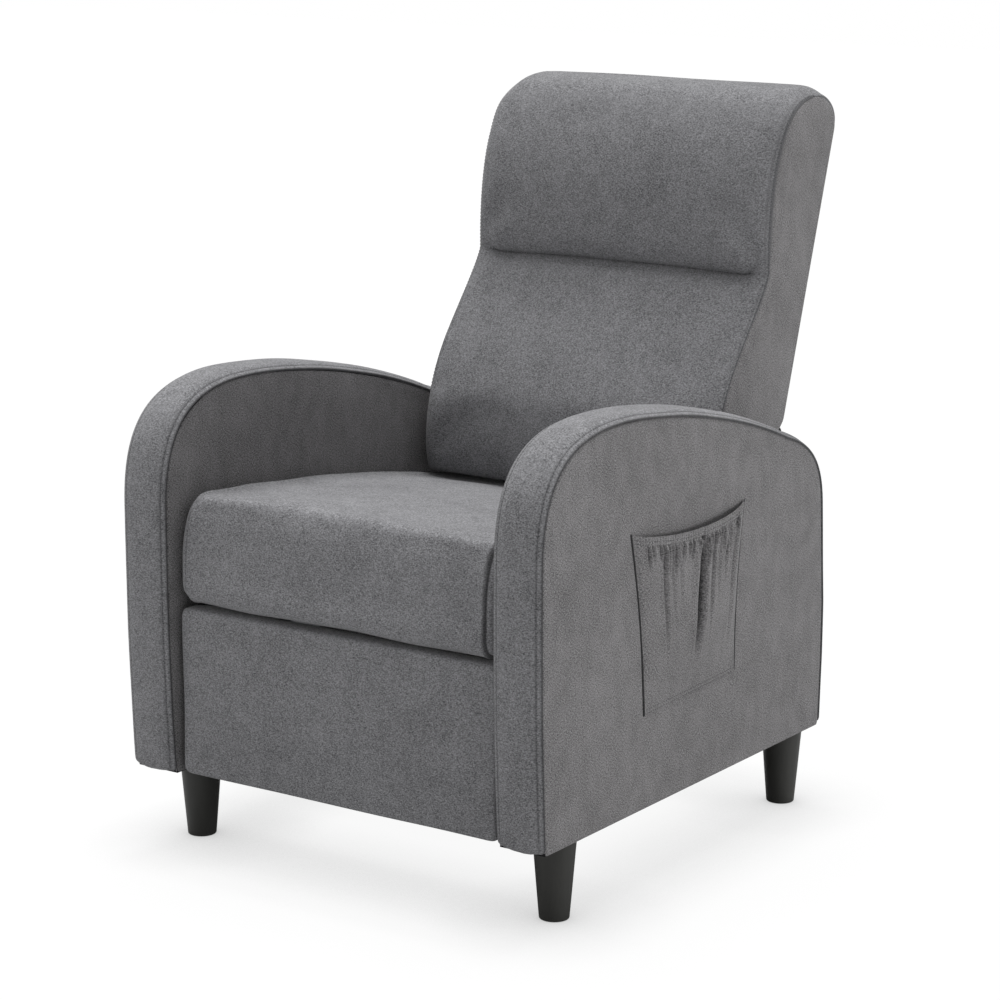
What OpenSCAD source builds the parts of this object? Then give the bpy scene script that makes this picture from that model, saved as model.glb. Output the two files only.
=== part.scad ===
// Push-back recliner armchair with slim upholstered arms, a two-section back
// and a footrest that folds flat under the seat.
// Millimetres. +Z is up, the chair faces -Y, the origin is on the floor under its middle.
// Outlines and pivots are [y, z] pairs in the plane that the mechanism moves in.

/* [Arms] */
// Width across both arms
chair_w = 680; // [660:5:740]
// Thickness of one arm
arm_t = 80; // [74:1:90]
// Front face of the arms, ahead of the origin
arm_front = 449; // [440:1:470]
// Rear edge of the arms, behind the origin
arm_rear = 282; // [276:1:310]
// Height of the crown of the arms
arm_top = 648; // [620:1:690]
// Height of the rear shoulder of the arms
arm_shoulder = 552; // [520:1:580]
// Thickness of the band that wraps the front and top of an arm
band_t = 12; // [8:1:16]
// How far the band stands proud of the side panels
band_proud = 6; // [3:1:8]
// Thickness of the padded side panels of an arm
panel_t = 6; // [4:0.5:8]
// Plywood thickness of the arm frame
ply_t = 12; // [9:1:15]
// Width of the timber edging between the plywood cheeks
edging_w = 40; // [25:1:50]

/* [Legs] */
// Height of the legs
leg_h = 113; // [90:1:130]
// Radius of a leg at its top
leg_top_r = 29; // [24:0.5:34]
// Radius of a leg at the floor
leg_foot_r = 20; // [14:0.5:24]
// Front legs, ahead of the origin
leg_front = 344; // [320:1:370]
// Rear legs, behind the origin
leg_rear = 244; // [220:1:262]
// Radius of the hanger bolts
leg_bolt_r = 4; // [3:0.5:5]

/* [Seat] */
// Front of the seat cushion, ahead of the origin
seat_front = 438; // [430:1:446]
// Height of the cushion at its front crest
seat_crest = 510; // [490:1:530]
// Height of the cushion where it meets the back
seat_dip = 434; // [424:1:438]
// Height of the lower front edge of the cushion
seat_lip = 355; // [352:1:362]
// Rear end of the cushion, behind the origin
seat_rear = 188; // [176:1:196]
// Clearance between the cushion and each arm
seat_gap = 5; // [3:0.5:8]
// Height of the timber seat rails
rail_h = 25; // [18:1:28]
// Width of the timber seat side rails
rail_w = 22; // [16:1:24]
// Radius of the seat spring wire
spring_r = 1.8; // [1.5:0.1:2.2]
// Number of sinuous seat springs
spring_count = 5; // [3:1:6]

/* [Back] */
// Clearance between the backrest and each arm
back_gap = 13; // [10:0.5:18]
// Lean of the backrest when upright, in degrees
back_lean = 17.7; // [16:0.1:19]
// Rear face of the back at its widest overhang, behind the origin
back_reach = 450; // [440:1:470]
// Height of the top of the back
back_top = 1004; // [980:1:1040]
// Height of the channel between the lumbar and head cushions
waist_z = 757; // [740:1:775]
// Height of the underside of the back over the dip in the seat
back_lift = 9; // [8:0.5:21]
// Thickness of the outside back panel
cover_t = 7; // [5:1:9]
// Thickness of the back side panels
side_t = 6.7; // [5:0.1:7.5]
// Thickness of the timber back posts, across the chair
post_t = 22; // [18:1:26]
// Depth of the timber back posts
post_d = 58; // [45:1:62]
// Width of one elastic strap
strap_w = 50; // [40:1:60]

/* [Footrest] */
// Clearance between the footrest and each arm
footrest_gap = 4; // [2:0.5:8]
// Front face of the footrest, ahead of the origin
footrest_front = 427; // [424:1:436]
// Thickness of the footrest pad
pad_t = 36; // [28:1:37]
// Thickness of the footrest board
board_t = 12; // [9:1:15]
// Height of the top edge of the footrest
footrest_top = 346; // [335:1:348]

/* [Mechanism] */
// How far the seat slides forward
slide_travel = 95; // [80:1:100]
// Thickness of the steel plates and links
plate_t = 3; // [2.5:0.5:3]
// Gap between neighbouring layers of links
layer_gap = 2; // [1.5:0.1:2.4]
// Width of the links
link_w = 18; // [16:1:19]
// Radius of the pivot pins
pin_r = 4; // [3:0.5:4.5]
// Running clearance round a pin
run_gap = 0.08; // [0.03:0.01:0.1]
// Length of the front and rear links between pivots
link_l = 165; // [155:1:172]
// Length of the carrier link ahead of the front link
carrier_l = 160; // [150:1:168]
// Distance between the front and rear link pivots
link_pitch = 55; // [50:1:62]
// Distance between the carrier and control link pivots
control_arm = 50; // [46:1:54]
// Radius of the cross tube between the front links
tube_r = 10; // [8:0.5:12]
// Play in the front eye of the drive link
drive_play = 2.7; // [2.5:0.1:3]

/* [Pocket] */
// Depth of the side pocket
pocket_d = 9; // [8:0.5:9.5]
// Thickness of the pocket cloth
pocket_t = 2.5; // [2:0.1:3]

/* [Hidden] */
$fn = 48;
eps = 0.01;
seat_clear = 0.3;

// Colours
cloth = [0.48, 0.49, 0.50];
cloth_dark = [0.40, 0.41, 0.42];
black = [0.13, 0.13, 0.14];
timber = [0.72, 0.58, 0.40];
ply = [0.78, 0.66, 0.48];
steel = [0.55, 0.56, 0.58];
paint = [0.20, 0.20, 0.21];
nylon = [0.85, 0.85, 0.82];
webbing = [0.25, 0.24, 0.23];

// Planes across the chair, measured from its middle
half_w = chair_w / 2;
arm_in = half_w - arm_t;
seat_half = arm_in - seat_gap;
back_half = arm_in - back_gap;
rail_channel = arm_in - plate_t;
web_out = arm_in - 10;
layer_1 = web_out - 2 * plate_t - layer_gap;
layer_2 = layer_1 - plate_t - layer_gap;
head_t = 1.3;

// Pivots. The first number is the distance behind the origin, the second the height.
hinge = [161, 330];
link_pivot = [-282, 314];
rear_pivot = link_pivot + [link_pitch, 0];
link_start = 105;
carrier_rise = 40;
function ahead(angle) = [-cos(angle), sin(angle)];
front_end = link_pivot + link_l * ahead(-link_start);
rear_end = front_end + [link_pitch, 0];
bracket_end = front_end + carrier_l * ahead(carrier_rise);
arm_step = -control_arm * ahead(-link_start);
control_rear = front_end + arm_step;
control_front = bracket_end + arm_step;
tube_axis = link_pivot + 60 * ahead(-link_start);
drive_rear = [76, 256];
drive_front = rear_pivot + [-10, -35];
eye_r = 8;

// Runner
runner_z = 301;
runner_h = 41;
flange_end = 100;
seat_floor = runner_z + runner_h + plate_t;
rail_top = seat_floor + rail_h;
cushion_floor = rail_top + 2 * spring_r + seat_clear;
carriage_front = -382;
seat_rail_front = carriage_front;
seat_rail_rear = 185;

// Outside back line, from the rear shoulder down to the foot of the outside back panel
shoulder_drop = 54;
cover_foot_z = 539;
cover_foot = [back_reach - (back_top - shoulder_drop - cover_foot_z) * tan(back_lean), cover_foot_z];
function back_line(z) = cover_foot[0] + (z - cover_foot[1]) * tan(back_lean);
// A point of the back, square to the outside back line and along it
function back_point(off, up) = cover_foot + [up * sin(back_lean) + off * cos(back_lean),
    up * cos(back_lean) - off * sin(back_lean)];
strap_t = 2;
post_back = cover_t + seat_clear;
post_front = post_back + post_d;
foam_back = post_front + strap_t + seat_clear;
post_x = back_half - side_t - seat_clear - plate_t;
post_foot = -30;
post_l = 414;

// Shapes
function bezier(a, b, c, d, n = 8) = [for (i = [1 : n]) let (t = i / n, s = 1 - t)
    s * s * s * a + 3 * s * s * t * b + 3 * s * t * t * c + t * t * t * d];

// Extrudes a [y, z] outline from x0 to x1
module across(x0, x1) {
    translate([x0, 0, 0]) rotate([90, 0, 90]) linear_extrude(x1 - x0) children();
}

// Extrudes a [y, z] outline on one side of the chair, side = 1 left, -1 right
module on_side(side, x0, x1) {
    if (side > 0) across(x0, x1) children();
    else across(-x1, -x0) children();
}

// Both sides at once
module both_sides(x0, x1) {
    for (side = [1, -1]) on_side(side, x0, x1) children();
}

module at(p) { translate(p) children(); }

// A flat bar between two pivots, with round eyes a little wider than the bar
eye_proud = 0.5;
module bar(p, q, w) {
    length = norm(q - p);
    neck = w - 2 * eye_proud;
    angle = atan2(q[1] - p[1], q[0] - p[0]);
    at(p) circle(d = w);
    at(q) circle(d = w);
    at(p) rotate(angle) translate([0, -neck / 2]) square([length, neck]);
}

module bore(p, r = pin_r + run_gap) { at(p) circle(r = r); }

// A pin with a head at each end, along X, from x0 to x1 between its heads
module pin(side, p, x0, x1) {
    on_side(side, x0 - head_t, x1 + head_t) at(p) circle(r = pin_r);
    on_side(side, x0 - head_t, x0 - seat_clear / 2) at(p) circle(r = pin_r + 2.5);
    on_side(side, x1 + seat_clear / 2, x1 + head_t) at(p) circle(r = pin_r + 2.5);
}

module block(x0, x1, y0, y1, z0, z1) { translate([x0, y0, z0]) cube([x1 - x0, y1 - y0, z1 - z0]); }

// Arms
// Side outline of an arm, moved inwards by i. The foot stays at the underside of the arm.
function arm_outline(i) = let (
        f = -arm_front + band_proud + i,
        t = arm_top - band_proud - i,
        r = arm_rear - i)
    concat([[f + 10, leg_h]],
        bezier([f + 10, leg_h], [f, leg_h + 140], [f, leg_h + 260], [f, t - 158 + i]),
        bezier([f, t - 158 + i], [f, t - 42 + i], [f + 58 - i, t], [f + 180, t]),
        bezier([f + 180, t], [f + 323, t], [arm_rear - 222, arm_shoulder + 46 - i],
            [arm_rear - 110, arm_shoulder - i]),
        bezier([arm_rear - 110, arm_shoulder - i], [arm_rear - 46, arm_shoulder - 18 - i],
            [r - 16, arm_shoulder - 42], [r - 10, arm_shoulder - 102]),
        [[r, arm_shoulder - 256], [r, leg_h + 100], [r - 4, leg_h]]);

module arm_shape(i) { polygon(arm_outline(i)); }

panel_in = band_t - band_proud + seat_clear;
frame_in = panel_in + seat_clear;
frame_x0 = arm_in + panel_t;
frame_x1 = half_w - panel_t;
bolt_hole = 0.2;
rail_bolt_r = 3.5;
rail_bolt_y = [-372, -140, 130];
rail_bolt_z = runner_z + runner_h / 2;
screw_r = 2.5;

module rail_bolt_bores(side, x0, x1) {
    for (y = rail_bolt_y)
        on_side(side, x0 - eps, x1 + eps) at([y, rail_bolt_z]) circle(r = rail_bolt_r + bolt_hole);
}

module leg_bolt_bores(side, z0, z1) {
    for (y = [-leg_front, leg_rear])
        translate([side * leg_x, y, z0 - eps]) cylinder(r = leg_bolt_r + bolt_hole, h = z1 - z0 + 2 * eps);
}

leg_x = half_w - arm_t / 2 - 6;
leg_bolt_in = 30;
leg_bolt_up = 32;

module arm_frame(side) {
    color(ply) difference() {
        union() {
            on_side(side, frame_x0, frame_x0 + ply_t) arm_shape(frame_in);
            on_side(side, frame_x1 - ply_t, frame_x1) arm_shape(frame_in);
            on_side(side, frame_x0 + ply_t - eps, frame_x1 - ply_t + eps) difference() {
                arm_shape(frame_in);
                intersection() {
                    arm_shape(frame_in + edging_w);
                    translate([-arm_front, leg_h + edging_w]) square([2 * arm_front, arm_top]);
                }
            }
        }
        rail_bolt_bores(side, frame_x0, frame_x0 + ply_t);
        leg_bolt_bores(side, leg_h, leg_h + leg_bolt_up);
    }
}

module arm_band(side) {
    color(cloth) on_side(side, arm_in, half_w) difference() {
        arm_shape(-band_proud);
        arm_shape(panel_in - seat_clear);
        translate([-arm_front - 50, 0]) square([2 * arm_front + 100, leg_h]);
    }
}

module arm_outer_panel(side) {
    color(cloth_dark) on_side(side, frame_x1, half_w) arm_shape(panel_in);
}

module arm_inner_panel(side) {
    color(cloth_dark) difference() {
        on_side(side, arm_in, frame_x0) arm_shape(panel_in);
        rail_bolt_bores(side, arm_in, frame_x0);
    }
}

module arm_frame_left() { arm_frame(1); }
module arm_frame_right() { arm_frame(-1); }
module arm_band_left() { arm_band(1); }
module arm_band_right() { arm_band(-1); }
module arm_outer_panel_left() { arm_outer_panel(1); }
module arm_outer_panel_right() { arm_outer_panel(-1); }
module arm_inner_panel_left() { arm_inner_panel(1); }
module arm_inner_panel_right() { arm_inner_panel(-1); }

// Legs
module leg(side, y) {
    color(black) difference() {
        translate([side * leg_x, y, 0]) union() {
            cylinder(r1 = leg_foot_r, r2 = leg_top_r, h = leg_h - 4);
            translate([0, 0, leg_h - 4]) cylinder(r = leg_top_r, h = 4);
        }
        translate([side * leg_x, y, leg_h - leg_bolt_in - seat_clear])
            cylinder(r = leg_bolt_r + bolt_hole, h = leg_bolt_in + 1);
    }
}

module leg_front_left() { leg(1, -leg_front); }
module leg_front_right() { leg(-1, -leg_front); }
module leg_rear_left() { leg(1, leg_rear); }
module leg_rear_right() { leg(-1, leg_rear); }

module leg_bolts() {
    color(steel) for (side = [1, -1], y = [-leg_front, leg_rear])
        translate([side * leg_x, y, leg_h - leg_bolt_in])
            cylinder(r = leg_bolt_r, h = leg_bolt_in + leg_bolt_up - seat_clear);
}

// Base
inner_half = arm_in - seat_clear;
stretcher_y = -360;
stretcher_d = 60;
stretcher_h = 22;
rear_rail_t = 22;
rear_rail_h = 60;
rear_panel_t = 12;
rear_panel_top = 380;

module front_stretcher() {
    color(timber)
        block(-inner_half, inner_half, stretcher_y, stretcher_y + stretcher_d, leg_h, leg_h + stretcher_h);
}

rear_panel_y = arm_rear - 4 - rear_panel_t;
module rear_rails() {
    color(timber) for (z = [leg_h, rear_panel_top - rear_rail_h - 6])
        block(-inner_half, inner_half, rear_panel_y - seat_clear - rear_rail_t,
            rear_panel_y - seat_clear, z, z + rear_rail_h);
}

module rear_panel() {
    color(cloth_dark)
        block(-inner_half, inner_half, rear_panel_y, rear_panel_y + rear_panel_t, leg_h, rear_panel_top);
}

base_rail_front = -384;
base_rail_rear = 170;
base_lip = 6.4;
module base_rail(side) {
    color(paint) difference() {
        on_side(side, rail_channel - base_lip, arm_in)
            translate([base_rail_front, runner_z]) square([base_rail_rear - base_rail_front, runner_h]);
        on_side(side, rail_channel - base_lip - 1, rail_channel)
            translate([base_rail_front - 1, runner_z + plate_t])
                square([base_rail_rear - base_rail_front + 2, runner_h - 2 * plate_t]);
        rail_bolt_bores(side, rail_channel, arm_in);
    }
}

module base_rail_left() { base_rail(1); }
module base_rail_right() { base_rail(-1); }

module rail_bolts() {
    color(steel) for (side = [1, -1], y = rail_bolt_y) {
        on_side(side, rail_channel - 3 - seat_clear, rail_channel - seat_clear)
            at([y, rail_bolt_z]) circle(r = rail_bolt_r + 3);
        on_side(side, rail_channel - seat_clear - eps, frame_x0 + ply_t)
            at([y, rail_bolt_z]) circle(r = rail_bolt_r);
    }
}

// Side pocket, open at the top
pocket_top = [[-242, 492], [40, 486]];
pocket_low = [[-205, 243], [21, 250]];
pocket_sag = 14;
function pocket_outline(i, up) = [pocket_low[0] + [i, i], pocket_low[1] + [-i, i],
    pocket_top[1] + [-i, up], [pocket_top[1][0] - 60, pocket_top[1][1] - pocket_sag + up],
    [pocket_top[0][0] + 60, pocket_top[0][1] - pocket_sag + up], pocket_top[0] + [i, up]];

module side_pocket() {
    pocket_x = half_w + seat_clear;
    color(cloth) difference() {
        across(pocket_x, half_w + pocket_d) polygon(pocket_outline(0, 0));
        across(pocket_x - 1, half_w + pocket_d - pocket_t) polygon(pocket_outline(5, 30));
    }
}

// Seat carriage: a steel angle each side that slides in the base rail
module carriage(side) {
    color(steel) difference() {
        union() {
            on_side(side, web_out - plate_t, web_out) {
                translate([carriage_front, runner_z])
                    square([flange_end - carriage_front, seat_floor - runner_z]);
                translate([flange_end - eps, runner_z])
                    square([seat_rail_rear - flange_end, runner_h + plate_t]);
            }
            on_side(side, post_x - rail_w - 8, web_out)
                translate([carriage_front, seat_floor - plate_t])
                    square([flange_end - carriage_front, plate_t]);
        }
        on_side(side, web_out - plate_t - 1, web_out + 1) {
            bore(link_pivot);
            bore(rear_pivot);
            bore(hinge);
        }
        for (y = carriage_screw_y)
            translate([side * seat_rail_x, y, seat_floor - plate_t - 1])
                cylinder(r = screw_r + bolt_hole, h = plate_t + 2);
    }
}

module carriage_left() { carriage(1); }
module carriage_right() { carriage(-1); }

glide_l = 30;
glide_y = [-265, 45];
module glide_blocks() {
    color(nylon) both_sides(web_out, rail_channel - seat_clear)
        for (y = glide_y) translate([y, runner_z + plate_t + seat_clear])
            square([glide_l, runner_h - 2 * plate_t - 2 * seat_clear]);
}

module seat_pins() {
    color(steel) for (side = [1, -1]) {
        pin(side, link_pivot, layer_1, web_out);
        pin(side, rear_pivot, layer_1, web_out);
        pin(side, hinge, post_x, web_out);
    }
}

seat_rail_out = post_x - 5;
seat_rail_x = seat_rail_out - rail_w / 2;
carriage_screw_y = [-350, -140, 80];
module carriage_screws() {
    color(steel) for (side = [1, -1], y = carriage_screw_y) translate([side * seat_rail_x, y, 0]) {
        translate([0, 0, seat_floor - plate_t - seat_clear - 2]) cylinder(r = screw_r + 2, h = 2);
        translate([0, 0, seat_floor - plate_t - seat_clear - eps]) cylinder(r = screw_r, h = plate_t + 14);
    }
}

// Seat frame
module seat_side_rail(side) {
    color(timber) difference() {
        on_side(side, seat_rail_out - rail_w, seat_rail_out)
            translate([seat_rail_front, seat_floor]) square([seat_rail_rear - seat_rail_front, rail_h]);
        for (y = carriage_screw_y)
            translate([side * seat_rail_x, y, seat_floor - 1]) cylinder(r = screw_r + bolt_hole, h = 17);
    }
}

module seat_side_rail_left() { seat_side_rail(1); }
module seat_side_rail_right() { seat_side_rail(-1); }

cross_rail_w = 40;
cross_rail_half = seat_rail_out - rail_w - seat_clear;
module seat_front_rail() {
    color(timber) block(-cross_rail_half, cross_rail_half, seat_rail_front,
        seat_rail_front + cross_rail_w, seat_floor, rail_top);
}

module seat_rear_rail() {
    color(timber) block(-cross_rail_half, cross_rail_half, seat_rail_rear - cross_rail_w,
        seat_rail_rear, seat_floor, rail_top);
}

// Sinuous springs: half rings joined by short straights, lying on the front and rear rails
spring_bend = 11;
spring_run = 24;
module sinuous_spring(y0, y1) {
    turns = floor((y1 - y0) / (2 * spring_bend));
    for (i = [0 : turns - 1]) {
        s = i % 2 == 0 ? 1 : -1;
        translate([s * spring_run / 2, y0 + (2 * i + 1) * spring_bend, 0])
            rotate([0, 0, s > 0 ? -90 : 90])
                rotate_extrude(angle = 180, $fn = 24) translate([spring_bend, 0]) circle(r = spring_r, $fn = 16);
        if (i > 0) translate([-spring_run / 2, y0 + 2 * i * spring_bend, 0])
            rotate([0, 90, 0]) cylinder(r = spring_r, h = spring_run, $fn = 16);
    }
}

module seat_springs() {
    spring_pitch = 2 * cross_rail_half / spring_count;
    color(steel) for (i = [0 : spring_count - 1])
        translate([(i - (spring_count - 1) / 2) * spring_pitch, 0, rail_top + spring_r])
            sinuous_spring(seat_rail_front + 10, seat_rail_rear - 10);
}

// Seat cushion: wraps over the front rail, narrower where it runs under the back
cushion_neck = 123;
cushion_outline = concat(
    [[seat_rail_front - seat_clear, cushion_floor], [seat_rail_front - seat_clear, seat_lip]],
    bezier([seat_rail_front - seat_clear, seat_lip], [-seat_front + 18, seat_lip],
        [-seat_front, seat_lip + 25], [-seat_front, seat_lip + 60]),
    bezier([-seat_front, seat_lip + 60], [-seat_front, seat_crest - 30], [-seat_front + 16, seat_crest],
        [-seat_front + 58, seat_crest]),
    bezier([-seat_front + 58, seat_crest], [-200, seat_crest - 14], [-20, seat_dip + 40],
        [cushion_neck, seat_dip + 2]),
    [[cushion_neck, cushion_floor]]);

module seat_cushion() {
    tongue_half = seat_rail_out;
    color(cloth) {
        across(-seat_half, seat_half) polygon(cushion_outline);
        across(-tongue_half, tongue_half)
            polygon([[cushion_neck - eps, cushion_floor], [seat_rear, cushion_floor],
                [seat_rear, seat_dip - 8], [cushion_neck - eps, seat_dip + 2]]);
    }
}

// Back
// Places children with z along the outside back line and y square to it, from the foot of the cover
module along_back() { translate([0, cover_foot[0], cover_foot[1]]) rotate([-back_lean, 0, 0]) children(); }

module back_post(side) {
    x0 = side > 0 ? post_x - post_t : -post_x;
    color(timber) difference() {
        along_back() block(x0, x0 + post_t, -post_front, -post_back, post_foot, post_foot + post_l);
        for (p = bracket_bolts) on_side(side, post_x - post_t - 1, post_x + 1) bore(p, bracket_bolt_r + bolt_hole);
    }
}

module back_post_left() { back_post(1); }
module back_post_right() { back_post(-1); }

back_rail_h = 45;
back_rail_d = 20;
back_rail_half = post_x - post_t - seat_clear;
module back_rail(up) {
    color(timber) along_back() block(-back_rail_half, back_rail_half, -post_front,
        -post_front + back_rail_d, up, up + back_rail_h);
}

module back_top_rail() { back_rail(post_foot + post_l - back_rail_h); }
module back_lower_rail() { back_rail(post_foot + 12); }

strap_up = [20, 95, 170, 245, 320];
module back_straps() {
    color(webbing) along_back() for (up = strap_up)
        block(-post_x, post_x, -post_front - strap_t, -post_front, up, up + strap_w);
}

// Foot of the back
back_foot = seat_dip + back_lift;

// Front of the cushions, the seam where the side panels start, and the outside back
belly_y = 118;
belly = [belly_y, back_foot + 107];
waist_front = [256, waist_z];
crown = [back_reach - 51, back_top];
head_brow = crown - [119, 69];
seam_low = [belly_y + 18, back_foot];
seam_mid = [belly_y + 34, back_foot + 157];
seam_waist = waist_front + [8, 0];
seam_brow = crown - [109, 89];
seam_top = crown - [6, 9];
heel = [belly_y + 97, back_foot];

belly_foot = [belly_y, back_foot];
lumbar_front = concat([belly_foot],
    bezier(belly_foot, belly_foot + [-19, 15], belly - [20, 45], belly),
    bezier(belly, belly + [22, 42], waist_front - [30, 47], waist_front));
head_front = concat([waist_front + [0, seat_clear]],
    bezier(waist_front + [0, seat_clear], waist_front + [-16, 50], head_brow - [30, 55], head_brow),
    bezier(head_brow, head_brow + [22, 42], crown - [49, 0], crown));
lumbar_seam = concat([seam_low],
    bezier(seam_low, seam_low + [-10, 57], seam_mid - [18, 40], seam_mid),
    bezier(seam_mid, seam_mid + [24, 55], seam_waist - [12, 37], seam_waist));
head_seam = concat([seam_waist + [0, seat_clear]],
    bezier(seam_waist + [0, seat_clear], seam_waist + [4, 43], seam_brow - [22, 45], seam_brow),
    bezier(seam_brow, seam_brow + [16, 47], seam_top - [43, 3], seam_top));
back_shoulder = bezier(crown, crown + [29, 0], [back_reach, back_top - 18],
    [back_reach, back_top - shoulder_drop]);
// The shoulder again, moved inwards by i
function shoulder_inside(i) = bezier(crown - [0, i], crown + [26, -i],
    [back_reach - i, back_top - 22], [back_reach - i, back_top - shoulder_drop]);

function without_last(list) = [for (i = [0 : len(list) - 2]) list[i]];
function reverse(list) = [for (i = [len(list) - 1 : -1 : 0]) list[i]];
function shifted(list, by) = [for (p = list) p + by];
function back_inner(z) = back_line(z) - foam_back / cos(back_lean);

foam_half = post_x - 1;
lap = 2;

module lumbar_cushion() {
    color(cloth) {
        across(-back_half, back_half) polygon(concat(lumbar_front, reverse(lumbar_seam)));
        across(-foam_half, foam_half) polygon(concat(shifted(lumbar_seam, [-lap, 0]),
            [[back_inner(waist_z), waist_z], [back_inner(back_foot), back_foot]]));
    }
}

foam_turn = 930;
module head_cushion() {
    color(cloth) {
        across(-back_half, back_half) polygon(concat(head_front, reverse(head_seam)));
        across(-foam_half, foam_half) polygon(concat(shifted(without_last(head_seam), [-lap, 0]),
            [seam_top + [-3, lap]], shifted(shoulder_inside(cover_t + seat_clear), [-seat_clear, 0]),
            [[back_line(foam_turn) - (cover_t + 1) / cos(back_lean), foam_turn],
                [back_inner(foam_turn), foam_turn],
                [back_inner(waist_z + seat_clear), waist_z + seat_clear]]));
    }
}

module back_side(side) {
    color(cloth_dark) on_side(side, back_half - side_t, back_half) polygon(concat(
        shifted(concat(lumbar_seam, head_seam), [seat_clear, 0]), back_shoulder, [cover_foot, heel]));
}

module back_side_left() { back_side(1); }
module back_side_right() { back_side(-1); }

module back_cover() {
    cover_half = back_half - side_t - seat_clear;
    color(cloth) across(-cover_half, cover_half) polygon(concat([crown + [seat_clear, 0]], back_shoulder,
        [cover_foot, cover_foot - [cover_t / cos(back_lean), 0]],
        reverse(shoulder_inside(cover_t)), [crown + [seat_clear, -cover_t]]));
}

// Slack black cloth that closes the gap behind the seat
gusset_t = 2;
gusset_top = cover_foot - [cover_t, 0.6];
gusset_ridge = [288, rear_panel_top + 24];
gusset_low = [seat_rail_rear + seat_clear + gusset_t, seat_floor + 6];
gusset_path = concat([gusset_top],
    bezier(gusset_top, gusset_top + [46, -24], gusset_top + [22, -104], gusset_ridge),
    bezier(gusset_ridge, gusset_ridge - [32, 12], gusset_low + [26, 42], gusset_low + [0, 18]),
    [gusset_low]);
// A strip of thickness t along a path
function strip(path, t) = let (n = len(path), side = [for (i = [0 : n - 1])
        let (d = path[min(i + 1, n - 1)] - path[max(i - 1, 0)]) [d[1], -d[0]] / norm(d)])
    concat(path, reverse([for (i = [0 : n - 1]) path[i] + t * side[i]]));

module back_gusset() {
    color(black) across(-foam_half, foam_half) polygon(strip(gusset_path, gusset_t));
}

bracket_w = 30;
lever_w = 24;
bracket_bolt_r = 3;
bracket_bolts = [back_point(-(post_back + post_front) / 2, 0), back_point(-(post_back + post_front) / 2, 60)];
module back_bracket(side) {
    color(paint) on_side(side, post_x, post_x + plate_t) difference() {
        union() {
            bar(hinge, bracket_bolts[0], bracket_w);
            bar(bracket_bolts[0], bracket_bolts[1], bracket_w);
            bar(hinge, drive_rear, lever_w);
        }
        bore(hinge);
        bore(drive_rear);
        for (p = bracket_bolts) bore(p, bracket_bolt_r + bolt_hole);
    }
}

module back_bracket_left() { back_bracket(1); }
module back_bracket_right() { back_bracket(-1); }

drive_x = post_x - layer_gap - plate_t;
module back_fasteners() {
    color(steel) for (side = [1, -1]) {
        for (p = bracket_bolts) {
            on_side(side, post_x - post_t - eps, post_x + plate_t) at(p) circle(r = bracket_bolt_r);
            on_side(side, post_x - post_t - seat_clear - 3, post_x - post_t - seat_clear)
                at(p) circle(r = bracket_bolt_r + 2.5);
            on_side(side, post_x - post_t - seat_clear - eps, post_x - post_t + eps)
                at(p) circle(r = bracket_bolt_r);
        }
        pin(side, drive_rear, drive_x, post_x + plate_t);
    }
}

// Links
module drive_links() {
    eye = pin_r + drive_play;
    color(steel) both_sides(drive_x, drive_x + plate_t) difference() {
        union() {
            bar(drive_rear, drive_front, link_w);
            at(drive_front) circle(r = eye + 3.6);
        }
        bore(drive_rear);
        bore(drive_front, eye);
    }
}

module front_links() {
    color(steel) both_sides(layer_1, layer_1 + plate_t) difference() {
        bar(link_pivot, front_end, link_w);
        bore(link_pivot);
        bore(control_rear);
        bore(front_end);
    }
}

tube_wall = 2;
module cross_tube() {
    color(paint) across(-layer_1, layer_1) at(tube_axis) difference() {
        circle(r = tube_r);
        circle(r = tube_r - tube_wall);
    }
}

module front_link_pins() {
    color(steel) for (side = [1, -1], p = [front_end, control_rear])
        pin(side, p, layer_2, layer_1 + plate_t);
}

module rear_links() {
    color(steel) both_sides(layer_1, layer_1 + plate_t) difference() {
        union() {
            bar(rear_pivot, rear_end, link_w);
            bar(rear_pivot, drive_front, 2 * eye_r);
        }
        bore(rear_pivot);
        bore(rear_end);
        bore(drive_front);
    }
}

module rear_link_pins() {
    color(steel) for (side = [1, -1]) pin(side, drive_front, drive_x, layer_1 + plate_t);
}

module carrier_links() {
    color(steel) both_sides(layer_2, layer_2 + plate_t) difference() {
        union() {
            bar(rear_end, front_end, link_w);
            bar(front_end, bracket_end, link_w);
        }
        bore(rear_end);
        bore(front_end);
        bore(bracket_end);
    }
}

module carrier_pins() {
    color(steel) for (side = [1, -1], p = [rear_end, bracket_end])
        pin(side, p, layer_2, layer_1 + plate_t);
}

module control_links() {
    color(steel) both_sides(layer_2, layer_2 + plate_t) difference() {
        bar(control_rear, control_front, link_w);
        bore(control_rear);
        bore(control_front);
    }
}

// Footrest
pad_half = arm_in - footrest_gap;
pad_foot = leg_h + 1;
pad_edge = 14;
board_half = layer_1 - 2;
board_back = -footrest_front + pad_t + 2;
board_front = board_back - board_t;
module footrest_board() {
    color(ply) difference() {
        block(-board_half, board_half, board_front, board_back, pad_foot + pad_edge, footrest_top - pad_edge);
        footrest_screw_bores(board_back - board_t + 2, board_back + 1);
    }
}

module footrest_pad() {
    color(cloth) difference() {
        block(-pad_half, pad_half, -footrest_front, board_back - 2, pad_foot, footrest_top);
        block(-board_half - seat_clear, board_half + seat_clear, board_front - seat_clear, board_back + 1,
            pad_foot + pad_edge - seat_clear, footrest_top - pad_edge + seat_clear);
    }
}

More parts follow.
